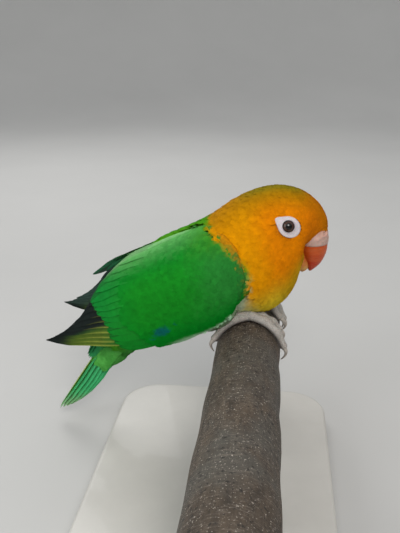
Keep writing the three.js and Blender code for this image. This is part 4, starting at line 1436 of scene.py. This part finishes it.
eye_look = mottled("eye_wet", (1800, 3), ((0.35, 0.7), (0.65, 1.2)),
                   Roughness=0.12, Coat_Weight=0.35, Coat_Roughness=0.03, Specular_IOR_Level=0.2)
ring_look = mottled("eye_ring_skin", (600, 4), ((0.3, 0.88), (0.7, 1.04)), ("cells", (1300,), 0.08, 0.5),
                    Roughness=0.6, Subsurface_Weight=0.15, Subsurface_Scale=0.0015)
for side_name, side_sign in SIDES:
    make_eyeball(side_name, side_sign, eye_look)
    make_eye_ring(side_name, side_sign, ring_look)


# Feet and claws.
def on_perch(angle, y, above):
    """A point over the perch's surface at an angle from its top towards the bird's front."""
    reach = PERCH["radius"] + GAP + above
    turned = np.asarray(angle) * DEGREE
    return np.stack([reach * np.sin(turned), y, reach * np.cos(turned) + PERCH_RAISED], -1)


def sweep(centres, radii, sides, dress=None):
    """Rings round a line of centres; dress gives a factor on the radius by turn, at each ring's share."""
    ahead = unit(np.gradient(centres, axis=0))
    lateral = np.array([0.0, 1, 0])
    side = unit(lateral - ahead * (ahead @ lateral)[:, None])
    up = np.cross(ahead, side)
    turns = circle(sides)
    rings = []
    for k in range(len(centres)):
        factor = np.ones(sides)
        if dress:
            factor = factor * dress(k / (len(centres) - 1), turns)
        across = side[k] * np.cos(turns)[:, None] + up[k] * np.sin(turns)[:, None]
        rings.append(centres[k] + across * (radii[k] * factor)[:, None])
    return rings


def foot_material():
    shader = Shader("foot_scales", Roughness=0.62, Subsurface_Weight=0.08, Subsurface_Scale=0.001)
    scales = shader.cells(1500)
    colour = shader.times(shader.tinted(), shader.ramp(scales, (0.0, 0.55), (0.12, 1.0)))
    colour = shader.times(colour, shader.ramp(shader.noise(500, 4), (0.3, 0.86), (0.7, 1.08)))
    return shader.finished(colour, shader.ramp(scales, (0, 0), (0.15, 1)), 0.12, 0.8)


FOOT_PALE = linear(174, 168, 160)
FOOT_PERCH_SHADE = linear(120, 112, 108)
CLAW_ROOT = linear(176, 168, 158)
CLAW_TIP = linear(104, 94, 86)
KNUCKLES = 3
# Length of one plate on top of a toe.
PLATE = 1.25
TOE_SIDES = 22
CLAW_SIDES = 16


def toe_rings(side, toe):
    f = np.linspace(0, 1, 90)
    angle = mix((FOOT["top"], toe["to"]), f)
    radius = mix((toe["root"], toe["end"]), f)
    radius = radius * (1 + 0.09 * np.cos(2 * math.pi * KNUCKLES * f)) * np.where(f > 0.97, 0.9, 1)
    y = side * (FOOT["y"] + toe["spread"] * np.sin(f * math.pi / 2))
    centres = on_perch(angle, y, radius)
    run = abs(toe["to"]) * DEGREE * PERCH["radius"]
    forward = np.sign(toe["to"])

    def plated(share, turns):
        """Overlapping plates along the top of the toe and soft pads below."""
        step = (share * run / PLATE) % 1
        top = np.clip(np.sin(turns) * -forward, 0, 1)
        below = np.clip(np.sin(turns) * forward, 0, 1)
        plate = (0.05 - 0.09 * step ** 3) * top
        pads = 0.03 * np.cos(2 * math.pi * (share * 2 * KNUCKLES)) * below
        return 1 + plate + pads - 0.02
    return sweep(centres, radius, TOE_SIDES, plated)


def make_foot(name, side, look, horn):
    heel, end = (np.array(SHANK[key]) * (1, side, 1) for key in ("heel", "foot"))
    f = np.linspace(0, 1, 30)
    radii = np.interp(f, (0, 0.5, 1), SHANK["radii"])
    shank = sweep(mix((heel, end), f[:, None]), radii, TOE_SIDES,
                  lambda share, turns: 1 + 0.04 * ((share * 13) % 1) ** 3 - 0.03)
    points, faces = joined([closed_form(rings) for rings in [toe_rings(side, toe) for toe in TOES] + [shank]])
    piece = mesh_object("foot_scaled_" + name, points, faces, look)
    reach = np.hypot(points[:, 0], points[:, 2] - PERCH_RAISED) - PERCH["radius"]
    # Painted shade: the toes turn darker close to the perch, where they wrap onto it.
    store_tint(piece.data, blend(FOOT_PERCH_SHADE, FOOT_PALE, smooth(0.4, 2.4, reach)))
    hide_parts("foot_" + name)
    for toe in TOES:
        f = np.linspace(0, 1, 28)
        start = toe["to"] + np.sign(toe["to"]) * CLAW["gap"] / PERCH["radius"] / DEGREE
        radius = mix((CLAW["root"], CLAW["tip"]), f ** 0.9)
        arch = CLAW["arch"] * np.sin(math.pi * mix((CLAW["arch_from"], 1), f))
        y = np.full_like(f, side * (FOOT["y"] + toe["spread"]))
        rings = sweep(on_perch(start + toe["claw"] * f, y, radius + arch), radius, CLAW_SIDES)
        points, faces = closed_form(rings)
        label = f"{name}_{toe['name']}"
        claw = mesh_object("claw_curved_" + label, points, faces, horn)
        tone = np.append(np.repeat(f, CLAW_SIDES), (0, 1))
        store_tint(claw.data, blend(CLAW_ROOT, CLAW_TIP, tone))
        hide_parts("claw_" + label)


foot_look = foot_material()
claw_look = mottled("claw_horn", ((500, 1500, 500), 3), ((0.35, 0.8), (0.7, 1.12)),
                    ("noise", ((500, 1500, 500), 3), 0.05, 0.6),
                    Roughness=0.38, Coat_Weight=0.2, Coat_Roughness=0.3)
for side_name, side_sign in SIDES:
    make_foot(side_name, side_sign, foot_look, claw_look)


# Perch and stand.
def perch_material():
    """Wood: its grain along the perch, grey patches, pale streaks round it, pale flecks that are partly
    painted glints, and dark pits.
    """
    shader = Shader("perch_wood", Roughness=0.62, Specular_IOR_Level=0.35)
    grain = shader.noise((300, 60, 300), 6, 0.7)
    checks = shader.noise((240, 1300, 240), 6, 0.75)
    fine = shader.noise(1500, 3, 0.6)
    patches = shader.noise(45, 4)
    pits = shader.noise(620, 2)
    colour = linear(52, 43, 34)
    for height, low, high, over in (
        (grain, (0.35, 0), (0.66, 1), (88, 75, 61)),
        (patches, (0.44, 0), (0.6, 0.8), (78, 75, 68)),
        (checks, (0.52, 0), (0.72, 0.8), (124, 113, 102)),
        # Pale flecks: partly the wood's own specks and partly painted glints of light on the rough grain.
        (fine, (0.62, 0), (0.68, 0.9), (186, 176, 164)),
        (pits, (0.3, 0.85), (0.42, 0), (26, 21, 18)),
    ):
        colour = shader.mixed(shader.ramp(height, low, high), colour, linear(*over))
    height = shader.math("ADD", shader.math("MULTIPLY", grain, 0.6), checks)
    return shader.finished(colour, shader.math("MULTIPLY_ADD", fine, 0.5, height), 0.7)


def waves(angle, y, seeds):
    """A smooth irregular height from a few waves round and along the perch."""
    return sum(size * np.sin(around * angle + 2 * math.pi * y / length + phase)
               for around, length, phase, size in seeds)


# Shares of the radius at which the perch's cut ends have rings of points.
CUT_RINGS = (0.15, 0.3, 0.45, 0.6, 0.75, 0.88)


def make_perch():
    near, far, edge = PERCH["near"], PERCH["far"], PERCH["edge"]
    bend = edge * (1 - np.cos(np.linspace(0, math.pi / 2, 6)))
    rows = np.concatenate([near + bend, np.linspace(near + edge, far - edge, 240)[1:-1], far - bend[::-1]])
    turns = circle(144)
    # Broad waves, mostly along the branch, and fine ones round it: turns, length, phase and height.
    seeds = [(k + 1, 30 + 14 * rng.random(), 6.28 * rng.random(), 0.13 / (1 + 0.3 * k)) for k in range(5)]
    seeds += [(12 + 5 * k, 90 + 40 * rng.random(), 6.28 * rng.random(), 0.035) for k in range(4)]
    rings = []
    for y in rows:
        into = min(y - near, far - y, edge) / edge
        rounded = edge * (1 - math.sqrt(max(0.0, 1 - (1 - into) ** 2)))
        taper = max(0.0, (PERCH["taper_from"] - y) / (PERCH["taper_from"] - near))
        radius = mix((PERCH["radius"], PERCH["near_radius"]), taper) - rounded
        under_feet = math.exp(-((abs(y) - FOOT["y"]) / 9) ** 4)
        reach = radius + np.minimum(waves(turns, y, seeds) - 0.25, 0) * (1 - 0.6 * under_feet)
        x, z = reach * np.sin(turns), reach * np.cos(turns) + PERCH_RAISED
        rings.append(np.stack([x, np.full_like(turns, y), z], -1))
    axis = np.array([0, 0, PERCH_RAISED])
    for end, inward in ((0, 1), (-1, -1)):
        rim = rings[end]
        for k, share in enumerate(reversed(CUT_RINGS)):
            sawn = 0.12 * inward * (k % 2)
            ring = axis + (rim - axis) * (share, 1, share) + (0, sawn, 0)
            rings.insert(0 if end == 0 else len(rings), ring)
    points, faces = closed_form(rings)
    piece = mesh_object("perch_branch", points, faces, perch_material())
    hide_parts("perch")


make_perch()


def rounded_outline(half_x, half_y, corner):
    """A rectangle with round corners, anticlockwise."""
    points = []
    for k, (sx, sy) in enumerate(((1, -1), (1, 1), (-1, 1), (-1, -1))):
        for angle in np.linspace((k - 1) * math.pi / 2, k * math.pi / 2, 14):
            points.append((sx * (half_x - corner) + corner * math.cos(angle),
                           sy * (half_y - corner) + corner * math.sin(angle)))
    return np.array(points)


def make_base():
    low, high = (np.array(corner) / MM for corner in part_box("stand_base"))
    half_x, half_y, half_z = (high - low) / 2
    middle_z = (low[2] + high[2]) / 2
    edge = BASE["edge"]

    def plate_ring(inset, z):
        corner = max(BASE["corner"] + edge - inset, 0.5)
        outline = rounded_outline(half_x - inset, half_y - inset, corner)
        return np.column_stack([outline, np.full(len(outline), z)]) - BIRD

    rings = [plate_ring(inset, low[2]) for inset in BASE["insets"]]
    for angle in np.linspace(-math.pi / 2, math.pi / 2, 15):
        level = math.copysign(half_z - edge, angle) * (abs(angle) > 1e-6)
        rings.append(plate_ring(edge * (1 - math.cos(angle)), middle_z + level + edge * math.sin(angle)))
    rings += [plate_ring(inset, high[2]) for inset in reversed(BASE["insets"])]
    look = mottled("painted_base", (60, 4), ((0.3, 0.95), (0.7, 1.03)),
                   ("noise", ((40, 900, 40), 4), 0.05, 0.4), linear(186, 183, 176),
                   Roughness=0.45, Coat_Weight=0.1)
    piece = mesh_object("stand_plate", *closed_form(rings), look)
    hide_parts("stand_base")


def steel_material():
    shader = Shader("brushed_rod", Metallic=1.0, Roughness=0.32, Anisotropic=0.4)
    brushed = shader.noise((60, 60, 3200), 3)
    colour = shader.ramp(brushed, (0.3, linear(186, 188, 190)), (0.7, linear(198, 200, 202)))
    return shader.finished(colour, brushed, 0.02, 0.12)


def make_rod(name, steel):
    """A straight rod on a low foot, its top rounded where it enters the perch."""
    low, high = (np.array(corner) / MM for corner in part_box("stand_rod_" + name))
    centre = (low + high) / 2
    turns = circle(64)
    profile = [(low[2] + rise, radius) for rise, radius in ROD_FOOT]
    profile += [(high[2] - below, ROD_RADIUS - less) for below, less in ((1.2, 0), (0.4, 0.15), (0, 0.6))]
    rings = []
    for z, r in profile:
        x, y = centre[0] + r * np.cos(turns), centre[1] + r * np.sin(turns)
        rings.append(np.column_stack([x, y, np.full_like(turns, z)]) - BIRD)
    rod = mesh_object("stand_post_" + name, *closed_form(rings), steel)
    rod.data.set_sharp_from_angle(angle=35 * DEGREE)
    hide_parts("stand_rod_" + name)


make_base()
rod_look = steel_material()
for rod_name in ("front", "rear"):
    make_rod(rod_name, rod_look)


# Room: a pale round floor that curves up into a far wall, the same from every side.
FLOOR = {"flat": (10, 100, 300, 600, 1000.0), "curve": 700.0, "wall": 800.0, "sides": 96}


def make_floor():
    reach, curve, sides = FLOOR["flat"][-1], FLOOR["curve"], FLOOR["sides"]
    profile = [(r, 0.0) for r in FLOOR["flat"]]
    for a in np.linspace(0.1, math.pi / 2, 16):
        profile.append((reach + curve * math.sin(a), curve * (1 - math.cos(a))))
    profile.append((reach + curve, FLOOR["wall"]))
    turns = circle(sides)
    rings = [np.column_stack([r * np.cos(turns), r * np.sin(turns), np.full(sides, z)]) for r, z in profile]
    points = np.concatenate(rings + [np.zeros((1, 3))]) - BIRD
    near = np.arange(sides)
    middle = np.stack([np.full(sides, len(points) - 1), np.roll(near, -1), near], -1)
    faces = np.concatenate([bands(len(profile), sides), middle])[:, ::-1]
    mesh = bpy.data.meshes.new("floor")
    mesh.from_pydata(((points + BIRD) * MM).tolist(), [], faces.tolist())
    mesh.polygons.foreach_set("use_smooth", [True] * len(mesh.polygons))
    mesh.materials.append(mottled("pale_floor", (6, 3), ((0.3, 0.97), (0.7, 1.02)),
                                  colour=linear(182, 181, 178), Roughness=0.9))
    floor = linked("floor", mesh)


make_floor()


def light(name, at, size, power, colour=(1, 1, 1)):
    """A square soft light at a place in metres from the bird, turned to it."""
    data = bpy.data.lights.new(name, "AREA")
    data.size = size
    data.energy = power
    data.color = colour
    made = linked(name, data)
    made.visible_camera = False
    target = Vector(BIRD * MM)
    made.location = target + Vector(at)
    made.rotation_euler = (target - made.location).to_track_quat("-Z", "Y").to_euler()


light("key", (0.14, -0.62, 0.52), 0.3, 3.4, (1.0, 0.98, 0.95))
light("fill", (-0.6, -0.5, 0.35), 0.6, 2.8, (0.96, 0.98, 1.0))
light("rim", (-0.3, 0.6, 0.55), 0.4, 2.2)

world = bpy.data.worlds.new("soft_room")
world.use_nodes = True
background = world.node_tree.nodes["Background"]
background.inputs["Color"].default_value = (0.9, 0.92, 0.95, 1)
background.inputs["Strength"].default_value = 0.75
bpy.context.scene.world = world
bpy.context.scene.view_settings.view_transform = "Standard"

# Camera: the photograph's view, from the bird's right and a little above, in millimetres of the row frame.
# It looks down by some degrees and is turned by some about the upright.
CAMERA = {"at": (20.676, -232.237, 179.452), "down": 20, "turned": 6.438, "lens": 45.557}


def make_camera():
    data = bpy.data.cameras.new("camera")
    data.lens = CAMERA["lens"]
    data.sensor_width = 36
    data.clip_start = 0.01
    camera = linked("camera", data)
    camera.matrix_world = (
        Matrix.Translation(Vector(CAMERA["at"]) * MM)
        @ Matrix.Rotation(CAMERA["turned"] * DEGREE, 4, "Z")
        @ Matrix.Rotation((90 - CAMERA["down"]) * DEGREE, 4, "X")
    )
    bpy.context.scene.camera = camera


make_camera()
